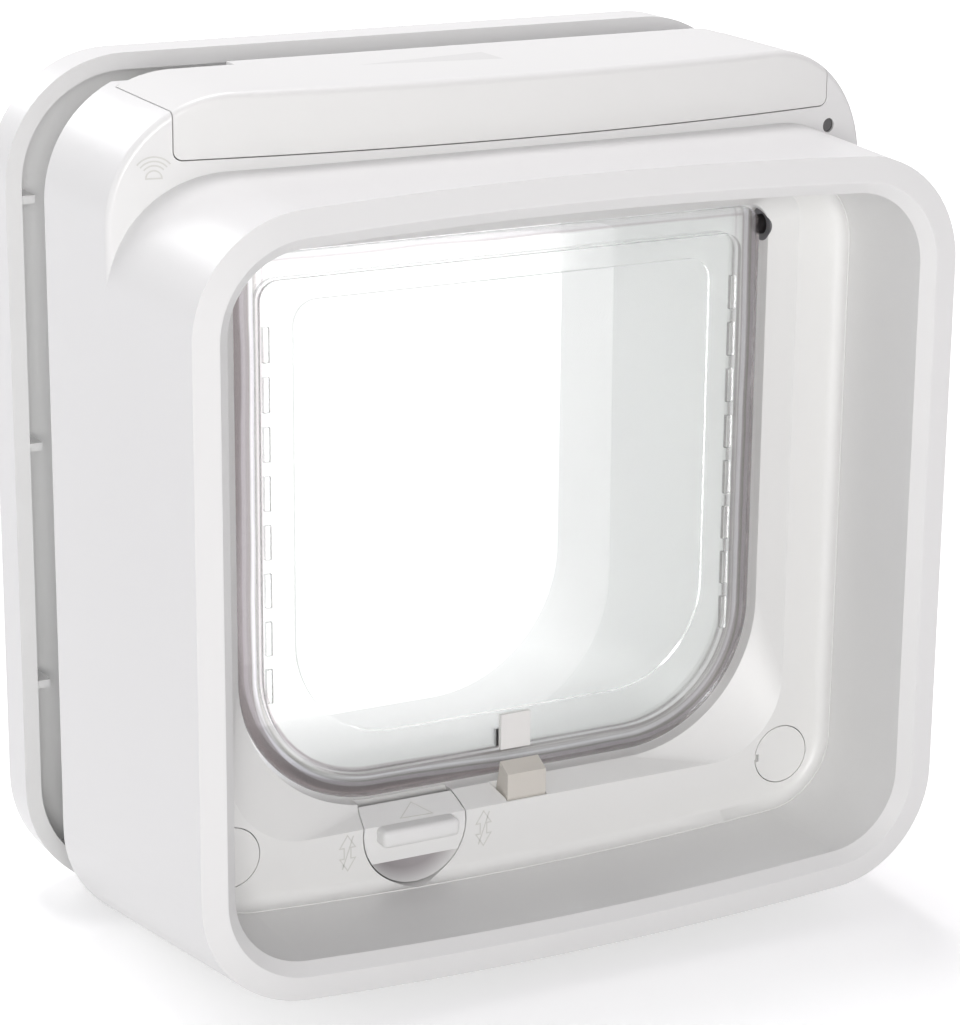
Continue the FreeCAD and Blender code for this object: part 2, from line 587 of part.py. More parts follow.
def opening_tool():
    """Funnel and straight opening that are cut from the plate and from the knob."""
    body = new_body("opening_tool")
    crease = outline(body, "funnel_crease", PLATE_Y, "Derived.FunnelWidth / 2",
                     "Derived.FunnelSill", "Derived.FunnelTop", "Sizes.FunnelRadius",
                     "Sizes.FunnelTopRadius")
    edge = opening_outline(body, "funnel_edge", COLLAR_Y, "0")
    loft(body, "Funnel", crease, edge)
    straight = opening_outline(body, "opening_edge", COLLAR_Y, "0")
    pad(body, "Opening", straight, "Sizes.CollarDepth + 1")
    return body


def opening_outline(body, name, y, grow):
    return outline(body, name, y, "Sizes.OpeningWidth / 2 + (%s)" % grow,
                   "Sizes.SillHeight - (%s)" % grow, "Derived.OpeningTop + (%s)" % grow,
                   "Sizes.OpeningRadius + (%s)" % grow, "Sizes.OpeningTopRadius + (%s)" % grow)


CATCH_FACE = "(%s + Sizes.CatchSetback)" % PLATE_Y
CATCH_REAR = "(%s + Sizes.CatchLength)" % CATCH_FACE
CATCH_LOW = "(Derived.CatchTop - Sizes.CatchFace)"
CATCH_HIGH = "(Derived.CatchTop + Sizes.CatchRise)"
CATCH_SLOPE = "Sizes.CatchBack / Sizes.CatchDrop"


def catch_slot():
    """Slanted slot for the entry catch, wider on its left where it opens in the sill."""
    body = new_body("catch_slot_side")
    gap = "Sizes.CatchGap"
    foot = "(%s - Sizes.CatchTail - Sizes.CatchDrop - %s)" % (CATCH_LOW, gap)
    points = [
        ("%s - 1" % PLATE_Y, "%s - %s" % (CATCH_LOW, gap)),
        ("%s - %s" % (CATCH_FACE, gap), "%s - %s" % (CATCH_LOW, gap)),
        ("%s - %s + (%s - %s - %s) * %s" % (CATCH_FACE, gap, CATCH_LOW, gap, foot, CATCH_SLOPE),
         foot),
        ("%s + %s + (%s - %s) * %s" % (CATCH_REAR, gap, CATCH_HIGH, foot, CATCH_SLOPE), foot),
        ("%s + %s" % (CATCH_REAR, gap), CATCH_HIGH),
        ("%s - 1" % PLATE_Y, CATCH_HIGH),
    ]
    left = "Sizes.CatchLeft - Sizes.SlotMargin"
    sketch = polygon(body, "slot_profile", "YZ_Plane", left, points)
    pad(body, "Slot", sketch, "Sizes.CatchWidth + Sizes.SlotMargin + %s" % gap, False)
    front = new_body("catch_slot_front")
    right = "Sizes.CatchLeft + Sizes.CatchWidth + %s" % gap
    shape = [
        ("Sizes.CatchLeft - %s" % gap, foot),
        (right, foot),
        (right, CATCH_HIGH),
        (left, CATCH_HIGH),
        (left, "Sizes.SillHeight"),
        ("Sizes.CatchLeft - %s" % gap, CATCH_LOW),
    ]
    sketch = polygon(front, "slot_front", "XZ_Plane", "-(%s - 1)" % PLATE_Y, shape)
    pad(front, "SlotFront", sketch, "%s - (%s - 1)" % (TUNNEL_Y, PLATE_Y))
    return common("catch_slot", body, front)


def plate_hollow():
    """Space in front of the face plate, whose rounded rear edge leaves a cove round it."""
    body = new_body("plate_hollow_body")
    edge = rim_outline(body, "hollow_edge", "%s - Sizes.CoveRadius - 1" % PLATE_Y,
                       "Sizes.LipInset + Sizes.PlateGap + Sizes.CoveLand")
    pad(body, "PlateHollow", edge, "Sizes.CoveRadius + 1")
    return round_edges("plate_hollow", body, number("Sizes.CoveRadius"), edges_at(PLATE_Y))


def face_plate():
    body = new_body("plate_body")
    panel = rim_outline(body, "plate_edge", "%s - Sizes.CoveRadius" % PLATE_Y,
                        "Sizes.LipInset + Sizes.PlateGap")
    pad(body, "Plate", panel, "Sizes.CoveRadius + Sizes.PlateThickness")
    flange = rim_outline(body, "flange_edge", SHOULDER_Y,
                         "Sizes.LipInset + Sizes.PlateGap - Sizes.FlangeReach")
    pad(body, "Flange", flange, "Sizes.FlangeThickness")
    collar = opening_outline(body, "collar_edge", "%s + Sizes.CollarStart" % PLATE_Y,
                             "Sizes.CollarWall")
    pad(body, "Collar", collar,
        "Sizes.FunnelDepth + Sizes.CollarDepth - Sizes.CollarStart")
    bosses = [rod("knob_boss", "Y", "Sizes.KnobOffset", SHOULDER_Y, "Derived.KnobHeight",
                  "Sizes.KnobRadius + Sizes.KnobGap + Sizes.BossWall",
                  "Sizes.WellDepth - Sizes.PlateThickness + Sizes.FloorThickness")]
    bosses += lower_screw_rods("cap_boss", SHOULDER_Y, "Sizes.CapRadius + Sizes.CapGap",
                               "%s - %s + Sizes.FloorThickness" % (COLLAR_Y, SHOULDER_Y))
    bush_boss = "Sizes.BushRadius + Sizes.BossWall"
    for side in mirrored("Sizes.OpeningWidth / 2 + Sizes.BushLength / 2"):
        bosses.append(block("bush_boss", "%s - Sizes.BushLength / 2" % side,
                            SHOULDER_Y, "Derived.PivotHeight - (%s)" % bush_boss,
                            "Sizes.BushLength", "%s - %s" % (TUNNEL_Y, SHOULDER_Y),
                            "2 * (%s)" % bush_boss))
    solid = fuse("plate_solid", body, *bosses)
    tools = [opening_tool(), catch_slot(), plate_hollow()]
    tools.append(rod("knob_well", "Y", "Sizes.KnobOffset",
                     "%s - Sizes.CoveRadius - 1" % PLATE_Y, "Derived.KnobHeight",
                     "Sizes.KnobRadius + Sizes.KnobGap",
                     "Sizes.WellDepth + Sizes.CoveRadius + 1"))
    tools.append(rod("shaft_hole", "Y", "Sizes.KnobOffset", "%s + Sizes.WellDepth" % PLATE_Y,
                     "Derived.KnobHeight", "Sizes.ShaftRadius + Sizes.ShaftGap",
                     "Sizes.FloorThickness + 1"))
    tools += lower_screw_rods("cap_well", "%s - 1" % PLATE_Y,
                              "Sizes.CapRadius + Sizes.CapGap", "Sizes.CapThickness + 1")
    tools += lower_screw_rods("head_well", PLATE_Y, "Sizes.HeadRadius + Sizes.ScrewGap",
                              "Sizes.CapThickness + Sizes.HeadHeight")
    tools += lower_screw_rods("plate_hole", PLATE_Y, "Sizes.ScrewRadius + Sizes.ScrewGap",
                              "Sizes.FunnelDepth + Sizes.FloorThickness + 1")
    reach = "Sizes.OpeningWidth / 2 + Sizes.BushLength"
    tools.append(rod("bush_bore", "X", "-(%s) - 1" % reach, PIVOT_Y, "Derived.PivotHeight",
                     "Sizes.BushRadius", "2 * (%s) + 2" % reach))
    tools.append(exit_slot("plate_exit_slot"))
    return cut("face_plate", solid, *tools)


def exit_slot(name):
    """Slot in the sill for the catch that stops the flap from swinging out."""
    gap = "Sizes.CatchGap"
    return block(name, "Sizes.CatchLeft - %s" % gap,
                 "%s + Sizes.ExitStart - %s" % (RIM_Y, gap), "Derived.TunnelRearSill",
                 "Sizes.CatchWidth + 2 * %s" % gap, "Sizes.ExitDepth + 2 * %s" % gap,
                 "Sizes.SillHeight - Derived.TunnelRearSill + 2")


# Flap, hinge bushes and the pieces that the flap carries

def flap_pane():
    body = new_body("flap_body")
    edge = flap_outline(body, "flap_edge", FLAP_Y, "0")
    pad(body, "FlapSlab", edge, "Sizes.FlapThickness")
    rounded = round_edges("flap_rounded", body, number("Sizes.FlapEdge"),
                          edges_at(FLAP_Y, "%s + Sizes.FlapThickness" % FLAP_Y))
    depth = "(Sizes.FlapThickness - Sizes.PaneThickness) / 2"
    front = new_body("flap_front_pocket")
    pad(front, "FrontPocket", flap_outline(front, "front_pocket", "%s - 1" % FLAP_Y,
                                           "Sizes.FlapRim"), "1 + %s" % depth)
    rear = new_body("flap_rear_pocket")
    pad(rear, "RearPocket",
        flap_outline(rear, "rear_pocket", "%s + %s + Sizes.PaneThickness" % (FLAP_Y, depth),
                     "Sizes.FlapRim"), "1 + %s" % depth)
    window = new_body("flap_window")
    pane = "%s + %s" % (FLAP_Y, depth)
    panel = outline(window, "window_edge", "%s - Sizes.WindowProud" % pane,
                    "Derived.WindowWidth / 2", "Derived.WindowSill", "Derived.WindowTop",
                    "Sizes.WindowRadius", "Sizes.OpeningTopRadius")
    pad(window, "WindowPanel", panel, "Sizes.WindowProud + Sizes.PaneThickness / 2")
    parts = [cut("flap_pocketed", rounded, front, rear), window]
    parts += flap_ribs(pane)
    half = "(Sizes.OpeningWidth / 2 - Sizes.FlapGap)"
    parts.append(rod("pin_right", "X", "%s - Sizes.FlapRim / 2" % half, PIVOT_Y,
                     "Derived.PivotHeight", "Sizes.PinRadius",
                     "Sizes.FlapRim / 2 + Sizes.PinReach"))
    parts.append(rod("pin_left", "X", "-%s - Sizes.PinReach" % half, PIVOT_Y,
                     "Derived.PivotHeight", "Sizes.PinRadius",
                     "Sizes.FlapRim / 2 + Sizes.PinReach"))
    return fuse("flap_pane", *parts)


def flap_outline(body, name, y, inset):
    shrink = "Sizes.FlapGap + (%s)" % inset
    return outline(body, name, y, "Sizes.OpeningWidth / 2 - (%s)" % shrink,
                   "Sizes.SillHeight + (%s)" % shrink, "Derived.OpeningTop - (%s)" % shrink,
                   "Sizes.OpeningRadius - (%s)" % shrink, "Sizes.FlapTopRadius")


def flap_ribs(pane):
    """Two rows of short ribs between the window and the rim of the flap."""
    ribs = []
    run = number("Derived.WindowTop - Derived.RibFoot - Sizes.RibLength")
    for side in mirrored("Derived.RibOffset"):
        for row in range(int(run / number("Sizes.RibPitch")) + 1):
            ribs.append(block("flap_rib", "%s - Sizes.RibWidth / 2" % side,
                              "%s - Sizes.WindowProud" % pane,
                              "Derived.RibFoot + %d * Sizes.RibPitch" % row,
                              "Sizes.RibWidth", "Sizes.WindowProud + Sizes.PaneThickness / 2",
                              "Sizes.RibLength"))
    return ribs


def hinge_bush(name, x):
    outer = rod(name + "_outer", "X", x, PIVOT_Y, "Derived.PivotHeight", "Sizes.BushRadius",
                "Sizes.BushLength")
    bore = rod(name + "_bore", "X", "%s - 1" % x, PIVOT_Y, "Derived.PivotHeight",
               "Sizes.PinRadius + Sizes.PinClearance", "Sizes.BushLength + 2")
    return cut(name, outer, bore)


def flap_strike():
    pane = "(%s + (Sizes.FlapThickness - Sizes.PaneThickness) / 2)" % FLAP_Y
    return block("flap_strike", "Sizes.StrikeLeft", "%s - Sizes.StrikeThickness" % pane,
                 "Derived.StrikeFoot", "Sizes.StrikeWidth", "Sizes.StrikeThickness",
                 "Sizes.StrikeHeight")


def flap_magnet():
    pane = "(%s + (Sizes.FlapThickness + Sizes.PaneThickness) / 2)" % FLAP_Y
    return block("flap_magnet", "Sizes.StrikeLeft", pane, "Derived.StrikeFoot",
                 "Sizes.StrikeWidth", "Sizes.StrikeThickness", "Sizes.StrikeHeight / 2")


# Tunnel with the back plate of the housing, and the frame outside the door

def tunnel_outline(body, name, y, grow):
    """Section of the tapered tunnel at a depth, grown by a wall or a gap."""
    share = "((%s) - %s) / Sizes.TunnelLength" % (y, TUNNEL_Y)

    def between(start, end):
        return "(%s) + ((%s) - (%s)) * %s" % (start, end, start, share)

    return outline(body, name, y,
                   "%s + (%s)" % (between("Sizes.OpeningWidth / 2", "Derived.TunnelRearWidth / 2"),
                                  grow),
                   "%s - (%s)" % (between("Sizes.SillHeight", "Derived.TunnelRearSill"), grow),
                   "%s + (%s)" % (between("Derived.OpeningTop", "Derived.TunnelRearTop"), grow),
                   "%s + (%s)" % (between("Sizes.OpeningRadius", "Sizes.TunnelRearRadius"), grow),
                   "Sizes.OpeningTopRadius + (%s)" % grow)


def tunnel_loft(name, start, end, grow):
    body = new_body(name)
    first = tunnel_outline(body, name + "_first", start, grow)
    last = tunnel_outline(body, name + "_last", end, grow)
    loft(body, name + "_sides", first, last)
    return body


def tunnel_plate():
    plate = new_body("back_plate")
    pad(plate, "BackPlate", back_outline(plate, "back_plate_edge", "Sizes.FitGap"),
        "Sizes.Wall")
    outside = tunnel_loft("tunnel_outside", TUNNEL_Y, REAR_Y, "Sizes.TunnelWall")
    solid = fuse("tunnel_solid", plate, outside)
    tools = [tunnel_loft("tunnel_inside", TUNNEL_Y, REAR_Y, "0")]
    tools += case_screw_rods("back_hole", "Sizes.CaseScrewRadius + Sizes.FitGap",
                             "Sizes.Wall + 1")
    tools += case_screw_rods("back_sink", "Sizes.CaseHeadRadius + Sizes.FitGap",
                             "Sizes.CaseHeadHeight")
    tools += lower_screw_rods("back_pass", "%s - 1" % BACK_Y,
                              "Sizes.ScrewRadius + Sizes.ScrewGap", "Sizes.Wall + 2")
    tools.append(exit_slot("tunnel_exit_slot"))
    return cut("tunnel_plate", solid, *tools)


def frame_outside():
    body = new_body("frame_body")
    edge = frame_outline(body, "frame_edge", FRAME_Y, "0")
    pad(body, "FrameSide", edge, "Sizes.FrameDepth - Sizes.FrameBevel")
    bevel_y = "%s - Sizes.FrameBevel" % FRAME_REAR_Y
    first = frame_outline(body, "bevel_first", bevel_y, "0")
    last = frame_outline(body, "bevel_last", FRAME_REAR_Y, "Sizes.FrameBevel")
    loft(body, "Bevel", first, last)
    return body


def outer_frame():
    body = frame_outside()
    hollow = new_body("frame_hollow")
    inside = frame_outline(hollow, "frame_inside", "%s - 1" % FRAME_Y, "Sizes.FrameLip")
    pad(hollow, "FrameHollow", inside, "Sizes.FrameDepth - Sizes.FrameWall + 1")
    tray = cut("frame_tray", body, hollow)
    hug = "Sizes.TunnelWall + Sizes.SleeveGap"
    sleeve = tunnel_loft("sleeve_outside", FRAME_Y, FRAME_REAR_Y, hug + " + Sizes.SleeveWall")
    bosses = [common("frame_side_ribs", frame_outside(), fuse("frame_rib_blocks", *frame_ribs()))]
    boss_y = "%s + Sizes.NutWall" % FRAME_Y
    boss_size = ("Sizes.NutRadius + Sizes.NutWall",
                 "Sizes.FrameDepth - Sizes.NutWall - Sizes.FrameWall / 2")
    bosses += lower_screw_rods("lower_boss", boss_y, *boss_size)
    bosses += upper_screw_rods("upper_boss", boss_y, *boss_size)
    solid = fuse("frame_solid", tray, sleeve, *bosses)
    tools = [tunnel_loft("sleeve_inside", "%s - 1" % FRAME_Y, "%s + 1" % FRAME_REAR_Y,
                         hug)]
    hole = ("Sizes.ScrewRadius + Sizes.ScrewGap",
            "%s - %s + 0.5" % (SCREW_TIP_Y, FRAME_Y))
    tools += lower_screw_rods("lower_thread", FRAME_Y, *hole)
    tools += upper_screw_rods("upper_thread", FRAME_Y, *hole)
    tools += nut_prisms("nut_pocket", "Sizes.NutRadius + Sizes.FitGap")
    return cut("outer_frame", solid, *tools)


def frame_outline(body, name, y, inset):
    return outline(body, name, y, "Derived.FrameWidth / 2 - (%s)" % inset, "(%s)" % inset,
                   "Derived.HousingHeight - (%s)" % inset, "Sizes.FrameRadius - (%s)" % inset,
                   "Sizes.FrameRadius - (%s)" % inset)


def frame_ribs():
    """Short ribs that stiffen the two sides of the frame, behind its lip."""
    ribs = []
    for row in range(3):
        height = "Sizes.FrameRibFoot + %d * Sizes.FrameRibPitch" % row
        for side in mirrored("Derived.FrameWidth / 2 - Sizes.FrameLip"):
            ribs.append(block("frame_rib", "%s - Sizes.FrameRibReach" % side,
                              "%s + Sizes.FrameRibSetback" % FRAME_Y, height,
                              "2 * Sizes.FrameRibReach",
                              "Sizes.FrameDepth - Sizes.FrameWall - Sizes.FrameRibSetback",
                              "Sizes.FrameRibThickness"))
    return ribs


def nut_prisms(name, radius):
    prisms = []
    start = "%s + Sizes.NutWall" % FRAME_Y
    places = [(side, "Derived.CapHeight") for side in mirrored("Derived.CapOffset")]
    places += [(side, "Derived.UpperScrewHeight")
               for side in mirrored("Derived.UpperScrewOffset")]
    for x, z in places:
        prism = doc.addObject("Part::Prism", name)
        prism.Polygon = 6
        prism.setExpression("Circumradius", radius)
        prism.setExpression("Height", "Sizes.NutHeight")
        prism.Placement.Rotation = TURNS["Y"]
        prisms.append(place(prism, x, start, z))
    return prisms


def captive_nuts():
    holes = lower_screw_rods("nut_bore_low", FRAME_Y, "Sizes.ScrewRadius", "Sizes.FrameDepth")
    holes += upper_screw_rods("nut_bore_high", FRAME_Y, "Sizes.ScrewRadius", "Sizes.FrameDepth")
    return cut("captive_nuts", fuse("nut_blanks", *nut_prisms("nut", "Sizes.NutRadius")), *holes)


def fixing_screws():
    """Four long screws that pull the housing and the frame together through the door."""
    lower_head = "%s + Sizes.CapThickness" % PLATE_Y
    upper_head = "%s - Sizes.HeadHeight" % BACK_Y
    rods = lower_screw_rods("lower_head", lower_head, "Sizes.HeadRadius", "Sizes.HeadHeight")
    rods += lower_screw_rods("lower_shank", lower_head, "Sizes.ScrewRadius",
                             "%s - (%s)" % (SCREW_TIP_Y, lower_head))
    rods += upper_screw_rods("upper_head", upper_head, "Sizes.HeadRadius", "Sizes.HeadHeight")
    rods += upper_screw_rods("upper_shank", upper_head, "Sizes.ScrewRadius",
                             "%s - (%s)" % (SCREW_TIP_Y, upper_head))
    return fuse("fixing_screws", *rods)


def case_screws():
    shanks = case_screw_rods("case_shank", "Sizes.CaseScrewRadius", CASE_BITE + " - 1")
    heads = case_screw_rods("case_head", "Sizes.CaseHeadRadius", "Sizes.CaseHeadHeight")
    return fuse("case_screws", *(shanks + heads))


def screw_cap(name, x):
    disc = rod(name + "_disc", "Y", x, PLATE_Y, "Derived.CapHeight", "Sizes.CapRadius",
               "Sizes.CapThickness")
    notch = block(name + "_notch", "%s - Sizes.CapRadius - 1" % x, "%s - 1" % PLATE_Y,
                  "Derived.CapHeight - Sizes.CapNotch", "Sizes.CapNotch + 1",
                  "Sizes.CapThickness / 2 + 1", "2 * Sizes.CapNotch")
    return cut(name, disc, notch)


# Lock: the turning knob, the two catches and their motor

def lock_knob():
    depth = "(Sizes.FunnelDepth - Sizes.FitGap)"
    disc = rod("knob_disc", "Y", "Sizes.KnobOffset", PLATE_Y, "Derived.KnobHeight",
               "Sizes.KnobRadius", depth)
    dish = cone("knob_dish", "Y", "Sizes.KnobOffset", PLATE_Y, "Derived.KnobHeight",
                "Sizes.KnobRadius - 0.4", "Sizes.KnobFlat - 2", "Sizes.KnobDish")
    scooped = cut("knob_scooped", disc, dish)
    band_box = block("knob_band_box", "Sizes.KnobOffset - Sizes.KnobRadius", PLATE_Y,
                     "Derived.KnobHeight - Sizes.KnobFlat", "2 * Sizes.KnobRadius", depth,
                     "2 * Sizes.KnobFlat")
    band_disc = rod("knob_band_disc", "Y", "Sizes.KnobOffset", PLATE_Y, "Derived.KnobHeight",
                    "Sizes.KnobRadius", depth)
    front = fuse("knob_front", scooped, common("knob_band", band_disc, band_box))
    sloped = cut("knob_sloped", front, opening_tool())
    grip = block("knob_grip", "Sizes.KnobOffset - Sizes.GripLength / 2",
                 "%s - Sizes.GripRise" % PLATE_Y, "Derived.KnobHeight - Sizes.GripWidth / 2",
                 "Sizes.GripLength", "Sizes.GripRise + 1", "Sizes.GripWidth")
    grip_front = number("%s - Sizes.GripRise + 0.1" % PLATE_Y)
    grip_round = round_edges("knob_grip_round", grip, number("Sizes.GripEdge"),
                             lambda box: box.YMin < grip_front)
    shaft_y = "%s - Sizes.FitGap - 1" % COLLAR_Y
    shaft_length = ("1 + 2 * Sizes.FitGap + Sizes.WellDepth - Sizes.FunnelDepth"
                    " + Sizes.FloorThickness")
    shaft = rod("knob_shaft", "Y", "Sizes.KnobOffset", shaft_y, "Derived.KnobHeight",
                "Sizes.ShaftRadius", shaft_length)
    snap = cone("knob_snap", "Y", "Sizes.KnobOffset", "%s + (%s)" % (shaft_y, shaft_length),
                "Derived.KnobHeight", "Sizes.SnapRadius", "Sizes.ShaftRadius", "2")
    return fuse("lock_knob", sloped, grip_round, shaft, snap)


def entry_catch():
    """Bar with a slanted tail; it slides back and down to let the flap swing inward."""
    body = new_body("entry_catch")
    foot = "(%s - Sizes.CatchTail)" % CATCH_LOW
    points = [
        (CATCH_FACE, "Derived.CatchTop"),
        (CATCH_FACE, CATCH_LOW),
        ("%s + Sizes.CatchTail * %s" % (CATCH_FACE, CATCH_SLOPE), foot),
        ("%s + (%s - %s) * %s" % (CATCH_REAR, CATCH_HIGH, foot, CATCH_SLOPE), foot),
        (CATCH_REAR, CATCH_HIGH),
    ]
    sketch = polygon(body, "catch_profile", "YZ_Plane", "Sizes.CatchLeft", points)
    pad(body, "Catch", sketch, "Sizes.CatchWidth", False)
    return body


def exit_catch():
    y = "%s + Sizes.ExitStart" % RIM_Y
    fall = ("Sizes.TunnelFall / Sizes.TunnelLength * (%s + Sizes.ExitDepth - %s)"
            % (y, TUNNEL_Y))
    top = "Sizes.SillHeight - %s - Sizes.FitGap" % fall
    return block("exit_catch", "Sizes.CatchLeft", y, "%s - Sizes.ExitLength" % top,
                 "Sizes.CatchWidth", "Sizes.ExitDepth", "Sizes.ExitLength")


def lock_motor():
    y = "%s + Sizes.MotorStart + Sizes.MotorRadius" % RIM_Y
    drum = rod("motor_drum", "X", "-Sizes.MotorLength / 2", y, "Derived.MotorHeight",
               "Sizes.MotorRadius", "Sizes.MotorLength")
    bracket = block("motor_bracket", "-Sizes.MotorLength / 4", y,
                    "Derived.MotorHeight - Sizes.MotorRadius + 1", "Sizes.MotorLength / 2",
                    "%s - (%s)" % (BACK_Y, y), "2 * Sizes.MotorRadius - 2")
    return fuse("lock_motor", drum, bracket)


# Electronics and batteries

def circuit_board():
    top = "(%s - Sizes.BoardDrop)" % DECK
    board = block("board", "-Derived.BoardWidth / 2", BOARD_Y, "%s - Sizes.BoardThickness" % top,
                  "Derived.BoardWidth", "Sizes.BoardDepth", "Sizes.BoardThickness")
    base = "%s - Sizes.SolderDepth" % top
    switch = block("board_switch", "Derived.ButtonOffset - Sizes.SwitchSize / 2",
                   "%s - Sizes.SwitchSize / 2" % BUTTON_Y, base, "Sizes.SwitchSize",
                   "Sizes.SwitchSize",
                   "Sizes.BoardDrop - Sizes.SwitchGap + Sizes.SolderDepth")
    middle = "(%s + Sizes.BoardDepth / 2)" % BOARD_Y
    chip = block("board_chip", "-Sizes.ChipSize", "%s - Sizes.ChipSize / 2" % middle, base,
                 "Sizes.ChipSize", "Sizes.ChipSize", "Sizes.ChipHeight + Sizes.SolderDepth")
    socket = block("board_socket", "Sizes.SocketLength", "%s - Sizes.SocketDepth / 2" % middle,
                   base, "Sizes.SocketLength", "Sizes.SocketDepth",
                   "Sizes.SocketHeight + Sizes.SolderDepth")
    return fuse("circuit_board", board, switch, chip, socket)


def antenna_coil():
    start = "%s + Sizes.CoilStart" % TUNNEL_Y
    slope = "Sizes.TunnelFall / Sizes.TunnelLength"
    hug = "Sizes.TunnelWall + Sizes.FitGap"

    def ring(body, name, grow):
        low = "Sizes.SillHeight - %s * (Sizes.CoilStart + Sizes.CoilDepth)" % slope
        high = "Derived.OpeningTop - %s * Sizes.CoilStart" % slope
        return outline(body, name, start, "Sizes.OpeningWidth / 2 + (%s)" % grow,
                       "%s - (%s)" % (low, grow), "%s + (%s)" % (high, grow),
                       "Sizes.OpeningRadius + (%s)" % grow, "Sizes.OpeningTopRadius + (%s)" % grow)

    outer = new_body("coil_outer")
    pad(outer, "CoilOuter", ring(outer, "coil_outer_edge", "%s + Sizes.CoilThickness" % hug),
        "Sizes.CoilDepth")
    inner = new_body("coil_inner")
    pad(inner, "CoilInner", ring(inner, "coil_inner_edge", hug), "Sizes.CoilDepth")
    return cut("antenna_coil", outer, inner)


ROW_Y = [
    "(%s + Sizes.CellStart + Sizes.CellRadius)" % RIM_Y,
    "(%s + Sizes.CellStart + 3 * Sizes.CellRadius + Sizes.CellGap)" % RIM_Y,
]
CELL_Z = "(Derived.BayFloor + Sizes.TrayWall + Sizes.CellRadius)"
TRAY_HALF = "(Sizes.CellLength + Sizes.ContactSpace)"


def battery(name, row, slot):
    """One cell; the nubs of the front row face right and those of the rear row left."""
    body_length = "(Sizes.CellLength - Sizes.NubLength)"
    start = ["-Sizes.CellLength", "0"][slot]
    if row == 0:
        barrel_x = start
        nub_x = "%s + %s" % (start, body_length)
    else:
        barrel_x = "%s + Sizes.NubLength" % start
        nub_x = start
    barrel = rod(name + "_barrel", "X", barrel_x, ROW_Y[row], CELL_Z, "Sizes.CellRadius",
                 body_length)
    nub = rod(name + "_nub", "X", nub_x, ROW_Y[row], CELL_Z, "Sizes.NubRadius",
              "Sizes.NubLength")
    return fuse(name, barrel, nub)


def battery_tray():
    wall = "Sizes.TrayWall"
    depth = "(4 * Sizes.CellRadius + Sizes.CellGap)"
    start = "(%s + Sizes.CellStart)" % RIM_Y
    shell = block("tray_shell", "-%s - %s" % (TRAY_HALF, wall), "%s - %s" % (start, wall),
                  "Derived.BayFloor", "2 * %s + 2 * %s" % (TRAY_HALF, wall),
                  "%s + 2 * %s" % (depth, wall), "Sizes.TrayHeight")
    hollow = block("tray_hollow", "-%s" % TRAY_HALF, start, "Derived.BayFloor + %s" % wall,
                   "2 * %s" % TRAY_HALF, depth, "Sizes.TrayHeight")
    return cut("battery_tray", shell, hollow)


def contact(name, x, direction, row, round_radius):
    """Plate against the end of the tray with a tip that reaches the cell."""
    plate_x = x if direction > 0 else "%s - Sizes.ContactThickness" % x
    plate = block(name + "_plate", plate_x, "%s - Sizes.ContactRadius" % ROW_Y[row],
                  "Derived.BayFloor + Sizes.TrayWall", "Sizes.ContactThickness",
                  "2 * Sizes.ContactRadius", "2 * Sizes.CellRadius - 2")
    length = "Sizes.ContactSpace - Sizes.ContactThickness"
    if direction > 0:
        tip = cone(name + "_tip", "X", "%s + Sizes.ContactThickness" % x, ROW_Y[row], CELL_Z,
                   "Sizes.ContactRadius", round_radius, length)
    else:
        tip = cone(name + "_tip", "X", "%s - Sizes.ContactSpace" % x, ROW_Y[row], CELL_Z,
                   round_radius, "Sizes.ContactRadius", length)
    return fuse(name, plate, tip)


def spring_contacts():
    wide = "Sizes.ContactRadius - 0.6"
    front = contact("front_spring", "-" + TRAY_HALF, 1, 0, wide)
    rear = contact("rear_spring", TRAY_HALF, -1, 1, wide)
    return fuse("spring_contacts", front, rear)


def strip_contacts():
    narrow = "Sizes.NubRadius / 2"
    front = contact("front_strip", TRAY_HALF, -1, 0, narrow)
    rear = contact("rear_strip", "-" + TRAY_HALF, 1, 1, narrow)
    return fuse("strip_contacts", front, rear)


def led_lens():
    across = rod("led_across", "Y", "Derived.LedOffset", LED_Y, "Derived.LedHeight",
                 "Sizes.LedRadius", "Sizes.LedLength")
    down = rod("led_down", "Z", "Derived.LedOffset",
               LED_BEND_Y, "Derived.LedHeight - Sizes.LedFall", "Sizes.LedRadius",
               "Sizes.LedFall")
    return fuse("led_lens", across, down)


def learn_button():
    start = "%s - Sizes.SwitchGap + Sizes.ButtonTravel" % DECK
    return rod("learn_button", "Z", "Derived.ButtonOffset", BUTTON_Y, start,
               "Sizes.ButtonRadius",
               "Sizes.SwitchGap - Sizes.ButtonTravel + Sizes.Wall + Sizes.ButtonRise")


# Every sub-part with the name of its node

